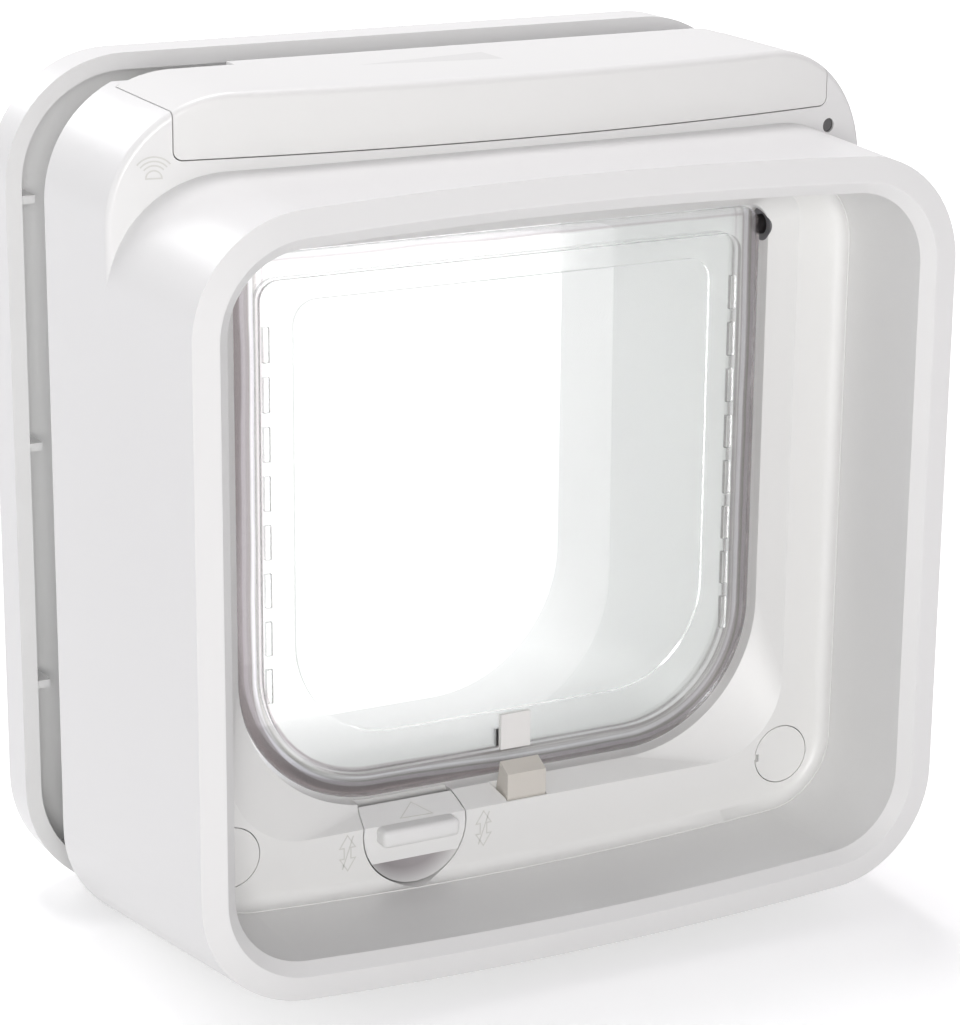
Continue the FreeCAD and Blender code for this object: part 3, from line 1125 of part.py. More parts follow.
NODES = {
    "cowl_shell": cowl_shell(),
    "face_plate": face_plate(),
    "tunnel_plate": tunnel_plate(),
    "outer_frame": outer_frame(),
    "battery_cover": battery_cover(),
    "flap_pane": flap_pane(),
    "flap_strike": flap_strike(),
    "flap_magnet": flap_magnet(),
    "hinge_bush_left": hinge_bush("hinge_bush_left", "-Sizes.OpeningWidth / 2 - Sizes.BushLength"),
    "hinge_bush_right": hinge_bush("hinge_bush_right", "Sizes.OpeningWidth / 2"),
    "lock_knob": lock_knob(),
    "entry_catch": entry_catch(),
    "exit_catch": exit_catch(),
    "lock_motor": lock_motor(),
    "screw_cap_left": screw_cap("screw_cap_left", "-Derived.CapOffset"),
    "screw_cap_right": screw_cap("screw_cap_right", "Derived.CapOffset"),
    "fixing_screws": fixing_screws(),
    "captive_nuts": captive_nuts(),
    "case_screws": case_screws(),
    "circuit_board": circuit_board(),
    "antenna_coil": antenna_coil(),
    "led_lens": led_lens(),
    "learn_button": learn_button(),
    "battery_tray": battery_tray(),
    "battery_1": battery("battery_1", 0, 0),
    "battery_2": battery("battery_2", 0, 1),
    "battery_3": battery("battery_3", 1, 0),
    "battery_4": battery("battery_4", 1, 1),
    "spring_contacts": spring_contacts(),
    "strip_contacts": strip_contacts(),
}

doc.recompute()
for item in doc.Objects:
    problems = {"Invalid", "Error"} & set(item.State)
    if problems:
        raise RuntimeError("%s is %s" % (item.Name, sorted(problems)))

for node, item in NODES.items():
    item.Label = node
    shape = item.Shape
    if shape.isNull() or not shape.isValid() or not shape.Solids:
        raise RuntimeError("%s has no valid solid" % node)
    shape.exportStep("parts/%s.step" % node)
    box = shape.BoundBox
    print("%-18s solids %2d  volume %9.1f  x %7.1f %7.1f  y %7.1f %7.1f  z %7.1f %7.1f" % (
        node, len(shape.Solids), shape.Volume, box.XMin, box.XMax,
        box.YMin, box.YMax, box.ZMin, box.ZMax))
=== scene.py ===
import math

import bmesh
import bpy
from mathutils import Matrix, Vector


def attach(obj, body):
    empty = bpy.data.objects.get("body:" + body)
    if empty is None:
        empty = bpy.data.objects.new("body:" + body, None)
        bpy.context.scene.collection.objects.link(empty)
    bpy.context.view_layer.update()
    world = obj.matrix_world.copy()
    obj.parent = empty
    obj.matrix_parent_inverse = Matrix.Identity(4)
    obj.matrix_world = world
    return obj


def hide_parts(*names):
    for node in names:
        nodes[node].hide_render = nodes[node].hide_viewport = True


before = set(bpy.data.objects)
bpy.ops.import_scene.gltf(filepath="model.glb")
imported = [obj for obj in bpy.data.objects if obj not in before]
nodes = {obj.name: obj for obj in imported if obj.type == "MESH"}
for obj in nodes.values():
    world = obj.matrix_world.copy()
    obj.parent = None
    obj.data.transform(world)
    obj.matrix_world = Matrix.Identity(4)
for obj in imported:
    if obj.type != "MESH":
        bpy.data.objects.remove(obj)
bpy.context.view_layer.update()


# Cowl shell
# The white housing on the room side of the door, one injection-moulded shell in
# satin ABS. It carries the face plate, the electronics and the battery bay.

def new_material(name, colour, roughness, specular=0.5):
    """Principled material; returns it with its tree and shader for the details."""
    material = bpy.data.materials.new(name)
    material.use_nodes = True
    tree = material.node_tree
    shader = tree.nodes["Principled BSDF"]
    shader.inputs["Base Color"].default_value = (*colour, 1)
    shader.inputs["Roughness"].default_value = roughness
    shader.inputs["Specular IOR Level"].default_value = specular
    return material, tree, shader


def on_object(tree):
    return tree.nodes.new("ShaderNodeTexCoord").outputs["Object"]


def object_noise(tree, scale, detail=2.0):
    """Noise that stays fixed on the object."""
    noise = tree.nodes.new("ShaderNodeTexNoise")
    noise.inputs["Scale"].default_value = scale
    noise.inputs["Detail"].default_value = detail
    tree.links.new(on_object(tree), noise.inputs["Vector"])
    return noise.outputs["Fac"]


def spread(tree, source, low, high):
    """Map a 0 to 1 pattern to a range."""
    node = tree.nodes.new("ShaderNodeMapRange")
    node.inputs["To Min"].default_value = low
    node.inputs["To Max"].default_value = high
    tree.links.new(source, node.inputs["Value"])
    return node.outputs["Result"]


def blend_colours(tree, factor, first, second):
    """Colour that goes from the first to the second where the pattern goes from 0 to 1."""
    mix = tree.nodes.new("ShaderNodeMix")
    mix.data_type = "RGBA"
    for socket, colour in (("A", first), ("B", second)):
        if isinstance(colour, tuple):
            mix.inputs[socket].default_value = (*colour, 1)
        else:
            tree.links.new(colour, mix.inputs[socket])
    tree.links.new(factor, mix.inputs["Factor"])
    return mix.outputs["Result"]


def grain_bump(tree, shader, source, strength, distance):
    bump = tree.nodes.new("ShaderNodeBump")
    bump.inputs["Strength"].default_value = strength
    bump.inputs["Distance"].default_value = distance
    tree.links.new(source, bump.inputs["Height"])
    tree.links.new(bump.outputs["Normal"], shader.inputs["Normal"])


def moulded(name, colour, roughness, grain=0.05, drift=0.965):
    """Moulded plastic with fine spark-erosion grain and a colour that drifts softly."""
    material, tree, shader = new_material(name, colour, roughness)
    darker = tuple(channel * drift for channel in colour)
    tree.links.new(blend_colours(tree, object_noise(tree, 9.0), colour, darker),
                   shader.inputs["Base Color"])
    fine = object_noise(tree, 2400.0, 3.0)
    tree.links.new(spread(tree, fine, roughness - 0.04, roughness + 0.05),
                   shader.inputs["Roughness"])
    grain_bump(tree, shader, fine, grain, 0.0001)
    return material


def dress(material, *names):
    """Give the nodes' objects one material in every slot."""
    for name in names:
        nodes[name].data.materials.clear()
        nodes[name].data.materials.append(material)


def raised_lines(name, strokes, width, proud, lay, material, body):
    """Strokes as thin raised ribs; lay turns a stroke's point into a place and a normal."""
    mesh = bmesh.new()
    for points, closed in strokes:
        rings = []
        for index, point in enumerate(points):
            here = Vector(point)
            before = Vector(points[index - 1]) if index or closed else None
            after = Vector(points[(index + 1) % len(points)])
            if index == len(points) - 1 and not closed:
                after = None
            runs = [(here - before).normalized()] if before else []
            runs += [(after - here).normalized()] if after else []
            sides = [Vector((-run.y, run.x)) for run in runs]
            middle = sum(sides, Vector((0, 0))).normalized()
            half = middle * (width / 2 / max(0.35, middle.dot(sides[0])))
            ring = []
            for side, height in ((-1, -0.00004), (-1, proud), (1, proud), (1, -0.00004)):
                place, normal = lay(here.x + side * half.x, here.y + side * half.y)
                ring.append(mesh.verts.new(place + normal * height))
            rings.append(ring)
        if closed:
            rings.append(rings[0])
        else:
            mesh.faces.new(rings[0])
            mesh.faces.new(rings[-1])
        for one, other in zip(rings, rings[1:]):
            for edge in range(4):
                following = (edge + 1) % 4
                mesh.faces.new((one[edge], other[edge], other[following], one[following]))
    bmesh.ops.recalc_face_normals(mesh, faces=mesh.faces)
    data = bpy.data.meshes.new(name)
    mesh.to_mesh(data)
    mesh.free()
    data.materials.append(material)
    piece = bpy.data.objects.new(name, data)
    bpy.context.scene.collection.objects.link(piece)
    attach(piece, body)


def bow(centre, radius, start, end):
    """Points along an arc, with its angles in degrees."""
    steps = 14
    turns = [math.radians(start + (end - start) * step / steps) for step in range(steps + 1)]
    return [(centre[0] + radius * math.cos(turn), centre[1] + radius * math.sin(turn))
            for turn in turns]


def on_housing_front(x, z):
    """Place and normal on the bowed front of the housing's upper block."""
    radius, front = 0.477, -0.038
    depth = math.sqrt(radius * radius - x * x)
    return Vector((x, front + radius - depth, z)), Vector((x, -depth, 0)).normalized()


cowl_white = moulded("cowl_white", (0.80, 0.80, 0.79), 0.32)
dress(cowl_white, "cowl_shell")
sign_white = moulded("sign_white", (0.66, 0.66, 0.63), 0.45)
sensor_foot = (-0.0906, 0.1976)
waves = [(bow(sensor_foot, 0.00098 * row, 40, 140), False) for row in (3, 4, 5)]
dome = bow(sensor_foot, 0.0018, 0, 180)
raised_lines("sensor_sign", waves + [(dome, True)], 0.00035, 0.00008, on_housing_front,
             sign_white, "housing")


# Face plate
# The moulded plate at the bottom of the cowl, with a funnel round the flap and wells
# for the knob and the screw caps. It clips in from behind and carries two raised signs.

plate_white = moulded("plate_white", (0.80, 0.80, 0.785), 0.34)
dress(plate_white, "face_plate")


def on_plate(x, z):
    return Vector((x, -0.037, z)), Vector((0, -1, 0))


def crossed_arrow(x, z):
    """Arrow that points both ways, with a bar across it."""
    head, waist, half = 0.0021, 0.0009, 0.0034
    right = [(x, z + half + 0.0012), (x + head, z + 0.0014), (x + waist, z + 0.0014),
             (x + waist, z - 0.0014), (x + head, z - 0.0014), (x, z - half - 0.0012)]
    left = [(2 * x - px, pz) for px, pz in reversed(right[1:-1])]
    bar = [(x - 0.0014, z - 0.0041), (x + 0.0016, z + 0.0043)]
    return [(right + left, True), (bar, False)]


raised_lines("plate_signs", crossed_arrow(-0.0468, 0.0290) + crossed_arrow(-0.0094, 0.0287),
             0.00028, 0.00008, on_plate, sign_white, "housing")


# Tunnel and back plate
# One thin white moulding: the tube that lines the hole in the door, with the plate
# that closes the back of the housing.

tunnel_white = moulded("tunnel_white", (0.82, 0.83, 0.83), 0.36)
dress(tunnel_white, "tunnel_plate")


# Outer frame
# The white tray-shaped frame on the far side of the door, screwed through to the
# housing.

frame_white = moulded("frame_white", (0.80, 0.80, 0.79), 0.32)
dress(frame_white, "outer_frame")


# Battery cover
# The lift-off lid over the battery bay, moulded in the housing's white. An arrow on top,
# drawn in the material alone, shows which way it comes off.

def maths(tree, operation, first, second=0.0):
    """Math node on sockets or values; returns its output."""
    node = tree.nodes.new("ShaderNodeMath")
    node.operation = operation
    for socket, value in zip(node.inputs, (first, second)):
        if isinstance(value, bpy.types.NodeSocket):
            tree.links.new(value, socket)
        else:
            socket.default_value = value
    return node.outputs[0]


def object_axes(tree):
    """The X, Y and Z sockets of the object's own coordinates."""
    split = tree.nodes.new("ShaderNodeSeparateXYZ")
    tree.links.new(on_object(tree), split.inputs["Vector"])
    return split.outputs


cover_colour = (0.80, 0.80, 0.785)
arrow_point = (0.006, -0.009)
arrow_length, arrow_slope = 0.036, 0.16
cover_top = 0.2155
cover_white, tree, shader = new_material("cover_white", cover_colour, 0.35)
east, north, height = object_axes(tree)
along = maths(tree, "SUBTRACT", east, arrow_point[0])
across = maths(tree, "ABSOLUTE", maths(tree, "SUBTRACT", north, arrow_point[1]))
slant = maths(tree, "MULTIPLY", maths(tree, "ADD", along, arrow_length), arrow_slope)
inside = maths(tree, "MULTIPLY", maths(tree, "LESS_THAN", across, slant),
               maths(tree, "LESS_THAN", along, 0.0))
arrow = maths(tree, "MULTIPLY", inside, maths(tree, "GREATER_THAN", height, cover_top))
flow = blend_colours(tree, object_noise(tree, 9.0), cover_colour, (0.772, 0.772, 0.757))
tree.links.new(blend_colours(tree, arrow, flow, (0.70, 0.70, 0.685)),
               shader.inputs["Base Color"])
fine = object_noise(tree, 2400.0, 3.0)
tree.links.new(spread(tree, fine, 0.31, 0.40), shader.inputs["Roughness"])
grain_bump(tree, shader, maths(tree, "SUBTRACT", fine, arrow), 0.05, 0.0001)
dress(cover_white, "battery_cover")


# Flap
# A clear pane moulded in one piece with its rim, window panel, ribs and hinge pins. Its
# thick rim carries painted shade and painted highlights: stripes of brown, grey and white in its
# colour that stand in for the shade at its edge and the light bent through the thick clear rim.
# The flow of the plastic leaves faint waves.

pane_half, pane_low, pane_round, pane_top = 0.0355, 0.0751, 0.0359, 0.1774
window_half, window_low, window_round, window_top = 0.0306, 0.082, 0.0262, 0.1662
rim_width, rim_wobble, band_lean = 0.0075, 0.0016, 0.0012
clear_pane, tree, shader = new_material("clear_pane", (0.975, 0.985, 0.98), 0.02)
shader.inputs["Transmission Weight"].default_value = 1.0
shader.inputs["IOR"].default_value = 1.3  # below real plastic's, so the ribs stay light
waves = object_noise(tree, 30.0)
east, north, height = object_axes(tree)


def past_straight(half_width, low):
    """Distance from the middle part that has no rounded corners, in the pane's plane."""
    beside = maths(tree, "SUBTRACT", maths(tree, "ABSOLUTE", east), half_width)
    below = maths(tree, "SUBTRACT", low, height)
    squares = [maths(tree, "POWER", maths(tree, "MAXIMUM", part, 0.0), 2.0)
               for part in (beside, below)]
    return maths(tree, "SQRT", maths(tree, "ADD", *squares))


def colour_ramp(tree, stops, factor):
    """Colour ramp with these places and colours; returns its node."""
    ramp = tree.nodes.new("ShaderNodeValToRGB")
    while len(ramp.color_ramp.elements) < len(stops):
        ramp.color_ramp.elements.new(0.5)
    for element, (place, colour) in zip(ramp.color_ramp.elements, stops):
        element.position = place
        element.color = (*colour, 1)
    tree.links.new(factor, ramp.inputs["Fac"])
    return ramp


# The painted shade and highlights run in stripes by distance from the pane's edge. They lean
# inwards on the left half, where this camera's view hides the rim's outer part, so they suit
# that view only.
leftward = maths(tree, "MAXIMUM", maths(tree, "SUBTRACT", 0.0, east), 0.0)
hidden = maths(tree, "MINIMUM", maths(tree, "MULTIPLY", leftward, 0.05), band_lean)
inward = maths(tree, "SUBTRACT", maths(tree, "SUBTRACT", pane_round,
                                       past_straight(pane_half, pane_low)), hidden)
from_top = maths(tree, "ADD", maths(tree, "SUBTRACT", pane_top, height), 0.0042)
edge = maths(tree, "MINIMUM", inward, from_top)
wobble = maths(tree, "MULTIPLY", maths(tree, "SUBTRACT", waves, 0.5), rim_wobble)
rim_share = maths(tree, "DIVIDE", maths(tree, "ADD", edge, wobble), rim_width)
# Painted shade and painted highlights: dark, grey, pale and white stripes in the base colour of
# the clear rim.
painted_rim_shading = colour_ramp(tree, (
    (0.00, (0.10, 0.08, 0.08)), (0.24, (0.12, 0.10, 0.10)), (0.28, (0.60, 0.58, 0.63)),
    (0.38, (0.68, 0.67, 0.72)), (0.43, (0.24, 0.24, 0.21)), (0.50, (0.50, 0.49, 0.46)),
    (0.56, (0.88, 0.88, 0.87)), (0.68, (0.70, 0.67, 0.69)), (0.74, (0.40, 0.34, 0.35)),
    (0.81, (0.93, 0.945, 0.925)),
), rim_share)
tree.links.new(painted_rim_shading.outputs["Color"], shader.inputs["Base Color"])
outside_window = maths(tree, "MAXIMUM",
                       maths(tree, "GREATER_THAN", past_straight(window_half, window_low),
                             window_round),
                       maths(tree, "GREATER_THAN", height, window_top))
border = maths(tree, "MULTIPLY", outside_window, maths(tree, "GREATER_THAN", edge, 0.0062))
frosted = maths(tree, "ADD", spread(tree, waves, 0.01, 0.03),
                maths(tree, "MULTIPLY", border, 0.24))
tree.links.new(frosted, shader.inputs["Roughness"])
grain_bump(tree, shader, waves, 0.05, 0.0005)
# Shadow rays pass, so that the tunnel behind is lit, and a quarter of the others.
lets_light = tree.nodes.new("ShaderNodeMixShader")
through = tree.nodes.new("ShaderNodeBsdfTransparent")
through.inputs["Color"].default_value = (0.93, 0.93, 0.93, 1)
shadow = tree.nodes.new("ShaderNodeLightPath").outputs["Is Shadow Ray"]
tree.links.new(maths(tree, "MAXIMUM", shadow, 0.25), lets_light.inputs["Fac"])
tree.links.new(shader.outputs["BSDF"], lets_light.inputs[1])
tree.links.new(through.outputs["BSDF"], lets_light.inputs[2])
tree.links.new(lets_light.outputs["Shader"],
               tree.nodes["Material Output"].inputs["Surface"])
dress(clear_pane, "flap_pane")


# Strike and magnet
# A small white plate on the front of the flap that meets the entry catch, and the steel
# magnet glued behind it, which pulls the flap to the middle.

dress(moulded("strike_white", (0.80, 0.79, 0.77), 0.4), "flap_strike")


def drawn_metal(name, colour, roughness, axis):
    """Metal with fine drawing marks along one axis."""
    material, tree, shader = new_material(name, colour, roughness)
    shader.inputs["Metallic"].default_value = 1.0
    mapping = tree.nodes.new("ShaderNodeMapping")
    mapping.inputs["Scale"].default_value = [60.0 if k == axis else 2200.0 for k in range(3)]
    tree.links.new(on_object(tree), mapping.inputs["Vector"])
    marks = tree.nodes.new("ShaderNodeTexNoise")
    marks.inputs["Scale"].default_value = 1.0
    tree.links.new(mapping.outputs["Vector"], marks.inputs["Vector"])
    tree.links.new(spread(tree, marks.outputs["Fac"], roughness - 0.08, roughness + 0.1),
                   shader.inputs["Roughness"])
    dull = tuple(part * 0.86 for part in colour)
    tree.links.new(blend_colours(tree, object_noise(tree, 120.0), colour, dull),
                   shader.inputs["Base Color"])
    grain_bump(tree, shader, marks.outputs["Fac"], 0.08, 0.0001)
    return material


dress(drawn_metal("magnet_steel", (0.60, 0.60, 0.61), 0.34, 0), "flap_magnet")


# Hinge bushes
# Two grey acetal bushes pressed into the face plate, in which the flap's pins turn.

dress(moulded("bush_grey", (0.11, 0.11, 0.115), 0.55, 0.1), "hinge_bush_left",
      "hinge_bush_right")


# Lock knob
# White moulding that turns in its well in the face plate, with a straight grip across
# it and a raised pointer on the slope above. It snaps into the well's floor.

knob_white = moulded("knob_white", (0.81, 0.81, 0.80), 0.36)
knob_centre = Vector((-0.0284, -0.037, 0.0321))
knob_radius = 0.0139
knob_rear = 0.0058
band_half = 0.0074
crease_rise = 0.0023
slope_run, slope_rise = 6.0, 3.6
# The bowl's colour darkens with its depth: painted shade, a dark purple-grey that stands in for
# the deep shade there.
tree = knob_white.node_tree
body = tree.nodes["Principled BSDF"].inputs["Base Color"]
east, north, height = object_axes(tree)
painted_shade_depth = maths(tree, "MULTIPLY", maths(tree, "SUBTRACT", north, knob_centre.y), 300.0)
low = maths(tree, "SUBTRACT", knob_centre.z - band_half + 0.0001, height)
bowl = maths(tree, "MULTIPLY", maths(tree, "MINIMUM", painted_shade_depth, 1.0),
             maths(tree, "GREATER_THAN", low, 0.0))
tree.links.new(blend_colours(tree, bowl, body.links[0].from_socket, (0.40, 0.375, 0.385)),
               body)


def knob_depth(x, z):
    """Depth of the knob's front behind the plate: flat band, slope above, bowl below."""
    if z < -band_half:
        return 0.0059 * (1 - ((x * x + z * z) / knob_radius ** 2) ** 2)
    return max(0.0, (z - crease_rise) * slope_run / slope_rise)


mesh = bmesh.new()
heights = [-knob_radius * math.cos(math.pi / 2 * step / 22) * 0.9995 for step in range(1, 23)]
heights = [-knob_radius * 0.9995] + [z for z in heights if z < -band_half - 0.0002]
heights += [-band_half - 0.00001, -band_half + 0.00001, -0.005, -0.0025, 0.0, crease_rise,
            0.0034, 0.0045, 0.00575]
columns = 24
fronts, backs = [], []
for z in heights:
    half = math.sqrt(knob_radius ** 2 - z * z)
    places = [half * math.sin(math.pi / 2 * (2 * step / columns - 1))
              for step in range(columns + 1)]
    fronts.append([mesh.verts.new(knob_centre + Vector((x, knob_depth(x, z), z)))
                   for x in places])
    backs.append([mesh.verts.new(knob_centre + Vector((x, knob_rear, z))) for x in places])
for rows in (fronts, backs):
    for one, other in zip(rows, rows[1:]):
        for step in range(columns):
            mesh.faces.new((one[step], one[step + 1], other[step + 1], other[step]))
rim = [(row[0], behind[0]) for row, behind in zip(fronts, backs)]
rim += list(zip(fronts[-1][1:], backs[-1][1:]))
rim += [(row[-1], behind[-1]) for row, behind in reversed(list(zip(fronts, backs)))][1:]
rim += list(reversed(list(zip(fronts[0][1:-1], backs[0][1:-1]))))
for (front, back), (next_front, next_back) in zip(rim, rim[1:] + rim[:1]):
    mesh.faces.new((front, next_front, next_back, back))
grip = bmesh.ops.create_cube(mesh, size=1.0, matrix=(
    Matrix.Translation(knob_centre + Vector((0, -0.0014, 0)))
    @ Matrix.Diagonal((0.021, 0.006, 0.0046, 1))))["verts"]
edges = {edge for vert in grip for edge in vert.link_edges}
bmesh.ops.bevel(mesh, geom=list(edges), offset=0.0014, segments=5, profile=0.5,
                affect="EDGES")
bmesh.ops.create_cone(mesh, cap_ends=True, segments=32, radius1=0.0018, radius2=0.0018,
                      depth=0.0082, matrix=(
                          Matrix.Translation(knob_centre + Vector((0, 0.0088, 0)))
                          @ Matrix.Rotation(math.pi / 2, 4, "X")))
bmesh.ops.recalc_face_normals(mesh, faces=mesh.faces)
for face in mesh.faces:
    face.smooth = True
data = bpy.data.meshes.new("turning_knob")
mesh.to_mesh(data)
mesh.free()
data.set_sharp_from_angle(angle=math.radians(28))
data.materials.append(knob_white)
knob = bpy.data.objects.new("turning_knob", data)
bpy.context.scene.collection.objects.link(knob)
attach(knob, "knob")
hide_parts("lock_knob")


def on_knob_slope(x, run):
    """Place on the funnel's slope, with the run measured up it from its crease."""
    along = Vector((0, slope_run, slope_rise)).normalized()
    return Vector((x, -0.037, 0.0344)) + run * along, Vector((0, -along.z, along.y))


pointer = [(-0.0319, 0.0012), (-0.0232, 0.0010), (-0.0273, 0.0054)]
raised_lines("knob_pointer", [(pointer, True)], 0.00028, 0.00008, on_knob_slope, sign_white,
             "knob")


# Catches and motor
# Two beige acetal bars that stop the flap, one for each way, and the small can motor
# under the sill that drives them.

dress(moulded("catch_beige", (0.64, 0.61, 0.56), 0.5, 0.08), "entry_catch", "exit_catch")
dress(drawn_metal("motor_metal", (0.62, 0.62, 0.63), 0.3, 0), "lock_motor")


# Screw caps
# Round white plugs that press into the face plate over the lower fixing screws, each
# with a notch for a fingernail.

dress(moulded("cap_white", (0.79, 0.79, 0.775), 0.37), "screw_cap_left", "screw_cap_right")


# Screws
# Zinc-plated pan-head screws with a cross drive: six short ones close the housing from
# behind, and four long ones join the housing and the frame through the door.

def add_input(tree, name, kind, value):
    socket = tree.interface.new_socket(name, in_out="INPUT", socket_type=kind)
    if value is not None:
        socket.default_value = value
    return socket.identifier


def wire(tree, kind, settings=(), **sockets):
    """Node with its properties set and its sockets given a value or linked to an output."""
    node = tree.nodes.new(kind)
    for key, value in settings:
        setattr(node, key, value)
    for key, value in sockets.items():
        target = node.inputs[key.replace("_", " ")]
        if isinstance(value, bpy.types.NodeSocket):
            tree.links.new(value, target)
        else:
            target.default_value = value
    return node.outputs[0]


def joined(tree, *parts):
    node = tree.nodes.new("GeometryNodeJoinGeometry")
    for part in parts:
        tree.links.new(part, node.inputs["Geometry"])
    return node.outputs["Geometry"]


def grown(name, tree, values, slot, body, *replaced):
    """Run a tree with these values on an empty mesh, keep the result as a plain mesh."""
    piece = bpy.data.objects.new(name, bpy.data.meshes.new(name))
    bpy.context.scene.collection.objects.link(piece)
    modifier = piece.modifiers.new("growth", "NODES")
    modifier.node_group = tree
    for identifier, value in values.items():
        modifier[identifier] = value
    depsgraph = bpy.context.evaluated_depsgraph_get()
    mesh = bpy.data.meshes.new_from_object(piece.evaluated_get(depsgraph))
    mesh.name = name
    piece.modifiers.clear()
    piece.data = mesh
    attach(piece, body)
    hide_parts(*replaced)


screws = bpy.data.node_groups.new("pan_head_screws", "GeometryNodeTree")
screws.interface.new_socket("Geometry", in_out="OUTPUT", socket_type="NodeSocketGeometry")
screw_inputs = {}
for label, kind, value in (
        ("Half width", "NodeSocketFloat", 0.095), ("Head face", "NodeSocketFloat", 0.009),
        ("First height", "NodeSocketFloat", 0.06), ("Pitch", "NodeSocketFloat", 0.05),
        ("Rows", "NodeSocketInt", 3), ("Facing", "NodeSocketVector", (-math.pi / 2, 0, 0)),
        ("Head radius", "NodeSocketFloat", 0.003), ("Head height", "NodeSocketFloat", 0.0018),
        ("Shank radius", "NodeSocketFloat", 0.0013), ("Length", "NodeSocketFloat", 0.016),
        ("Thread length", "NodeSocketFloat", 0.012), ("Thread pitch", "NodeSocketFloat", 0.001),
        ("Metal", "NodeSocketMaterial", None)):
    screw_inputs[label] = add_input(screws, label, kind, value)
given = screws.nodes.new("NodeGroupInput").outputs
radius, height = given["Head radius"], given["Head height"]
shank, length = given["Shank radius"], given["Length"]
head = wire(screws, "GeometryNodeMeshCylinder", Vertices=36, Radius=radius, Depth=height)
drive = []
for long_side, short_side in ((1.25, 0.28), (0.28, 1.25)):
    size = wire(screws, "ShaderNodeCombineXYZ", X=maths(screws, "MULTIPLY", radius, long_side),
                Y=maths(screws, "MULTIPLY", radius, short_side),
                Z=maths(screws, "MULTIPLY", height, 1.1))
    drive.append(wire(screws, "GeometryNodeMeshCube", Size=size))
rise = wire(screws, "ShaderNodeCombineXYZ", X=0.0, Y=0.0,
            Z=maths(screws, "MULTIPLY", height, 0.5))
cross = wire(screws, "GeometryNodeTransform", Geometry=joined(screws, *drive),
             Translation=rise)
recess = screws.nodes.new("GeometryNodeMeshBoolean")
recess.operation = "DIFFERENCE"
screws.links.new(head, recess.inputs["Mesh 1"])
screws.links.new(cross, recess.inputs["Mesh 2"])
lower = wire(screws, "ShaderNodeCombineXYZ", X=0.0, Y=0.0,
             Z=maths(screws, "MULTIPLY", height, -0.5))
head = wire(screws, "GeometryNodeTransform", Geometry=recess.outputs["Mesh"],
            Translation=lower)
core = maths(screws, "SUBTRACT", shank, maths(screws, "MULTIPLY",
                                              given["Thread pitch"], 0.3))
body_length = maths(screws, "SUBTRACT", length, maths(screws, "MULTIPLY", height, 0.8))
stem = wire(screws, "GeometryNodeMeshCylinder", Vertices=24, Radius=core, Depth=body_length)
drop = maths(screws, "SUBTRACT", maths(screws, "MULTIPLY", body_length, 0.5), length)
stem = wire(screws, "GeometryNodeTransform", Geometry=stem,
            Translation=wire(screws, "ShaderNodeCombineXYZ", X=0.0, Y=0.0, Z=drop))
turns = maths(screws, "DIVIDE", given["Thread length"], given["Thread pitch"])
path = wire(screws, "GeometryNodeCurveSpiral", Resolution=20, Rotations=turns,
            Start_Radius=core, End_Radius=core, Height=given["Thread length"])
ridge = wire(screws, "GeometryNodeCurvePrimitiveCircle", Resolution=4,
             Radius=maths(screws, "MULTIPLY", given["Thread pitch"], 0.3))
thread = screws.nodes.new("GeometryNodeCurveToMesh")
screws.links.new(path, thread.inputs["Curve"])
screws.links.new(ridge, thread.inputs["Profile Curve"])
thread.inputs["Fill Caps"].default_value = True
foot = maths(screws, "SUBTRACT", 0.0004, length)
thread = wire(screws, "GeometryNodeTransform", Geometry=thread.outputs["Mesh"],
              Translation=wire(screws, "ShaderNodeCombineXYZ", X=0.0, Y=0.0, Z=foot))
whole = joined(screws, head, stem, thread)
columns = []
for side in (-1.0, 1.0):
    first = wire(screws, "ShaderNodeCombineXYZ",
                 X=maths(screws, "MULTIPLY", given["Half width"], side),
                 Y=given["Head face"], Z=given["First height"])
    step = wire(screws, "ShaderNodeCombineXYZ", X=0.0, Y=0.0, Z=given["Pitch"])
    columns.append(wire(screws, "GeometryNodeMeshLine", Count=given["Rows"],
                        Start_Location=first, Offset=step))
placed = wire(screws, "GeometryNodeInstanceOnPoints", Points=joined(screws, *columns),
              Instance=whole, Rotation=given["Facing"])
plain = wire(screws, "GeometryNodeRealizeInstances", Geometry=placed)
coated = wire(screws, "GeometryNodeSetMaterial", Geometry=plain, Material=given["Metal"])
screws.links.new(coated, screws.nodes.new("NodeGroupOutput").inputs["Geometry"])

zinc = drawn_metal("screw_steel", (0.66, 0.66, 0.67), 0.32, 1)
case_values = {"Half width": 0.095, "Head face": 0.009, "Metal": zinc}
grown("case_screw_set", screws,
      {screw_inputs[label]: value for label, value in case_values.items()},
      "screw_steel", "housing", "case_screws")


def fixing_pair(name, half_width, height, face, length, *replaced):
    values = {"Half width": half_width, "Head face": face, "First height": height, "Rows": 1,
              "Facing": (math.pi / 2, 0, 0), "Head radius": 0.004, "Head height": 0.0026,
              "Shank radius": 0.002, "Length": length, "Thread length": 0.03,
              "Thread pitch": 0.0007, "Metal": zinc}
    grown(name, screws, {screw_inputs[label]: value for label, value in values.items()},
          "screw_steel", "housing", *replaced)


fixing_pair("lower_fixing_screws", 0.0778, 0.0335, -0.034, 0.0784, "fixing_screws")
fixing_pair("upper_fixing_screws", 0.062, 0.2008, 0.0034, 0.041, "fixing_screws")


# Captive nuts
# Four brass nuts that sit in six-sided pockets in the outer frame.

dress(drawn_metal("nut_brass", (0.74, 0.56, 0.28), 0.33, 1), "captive_nuts")


# Circuit board
# Green solder-masked board that hangs under the battery bay's floor, with a switch, a
# chip and a socket. Its tracks show through the mask.

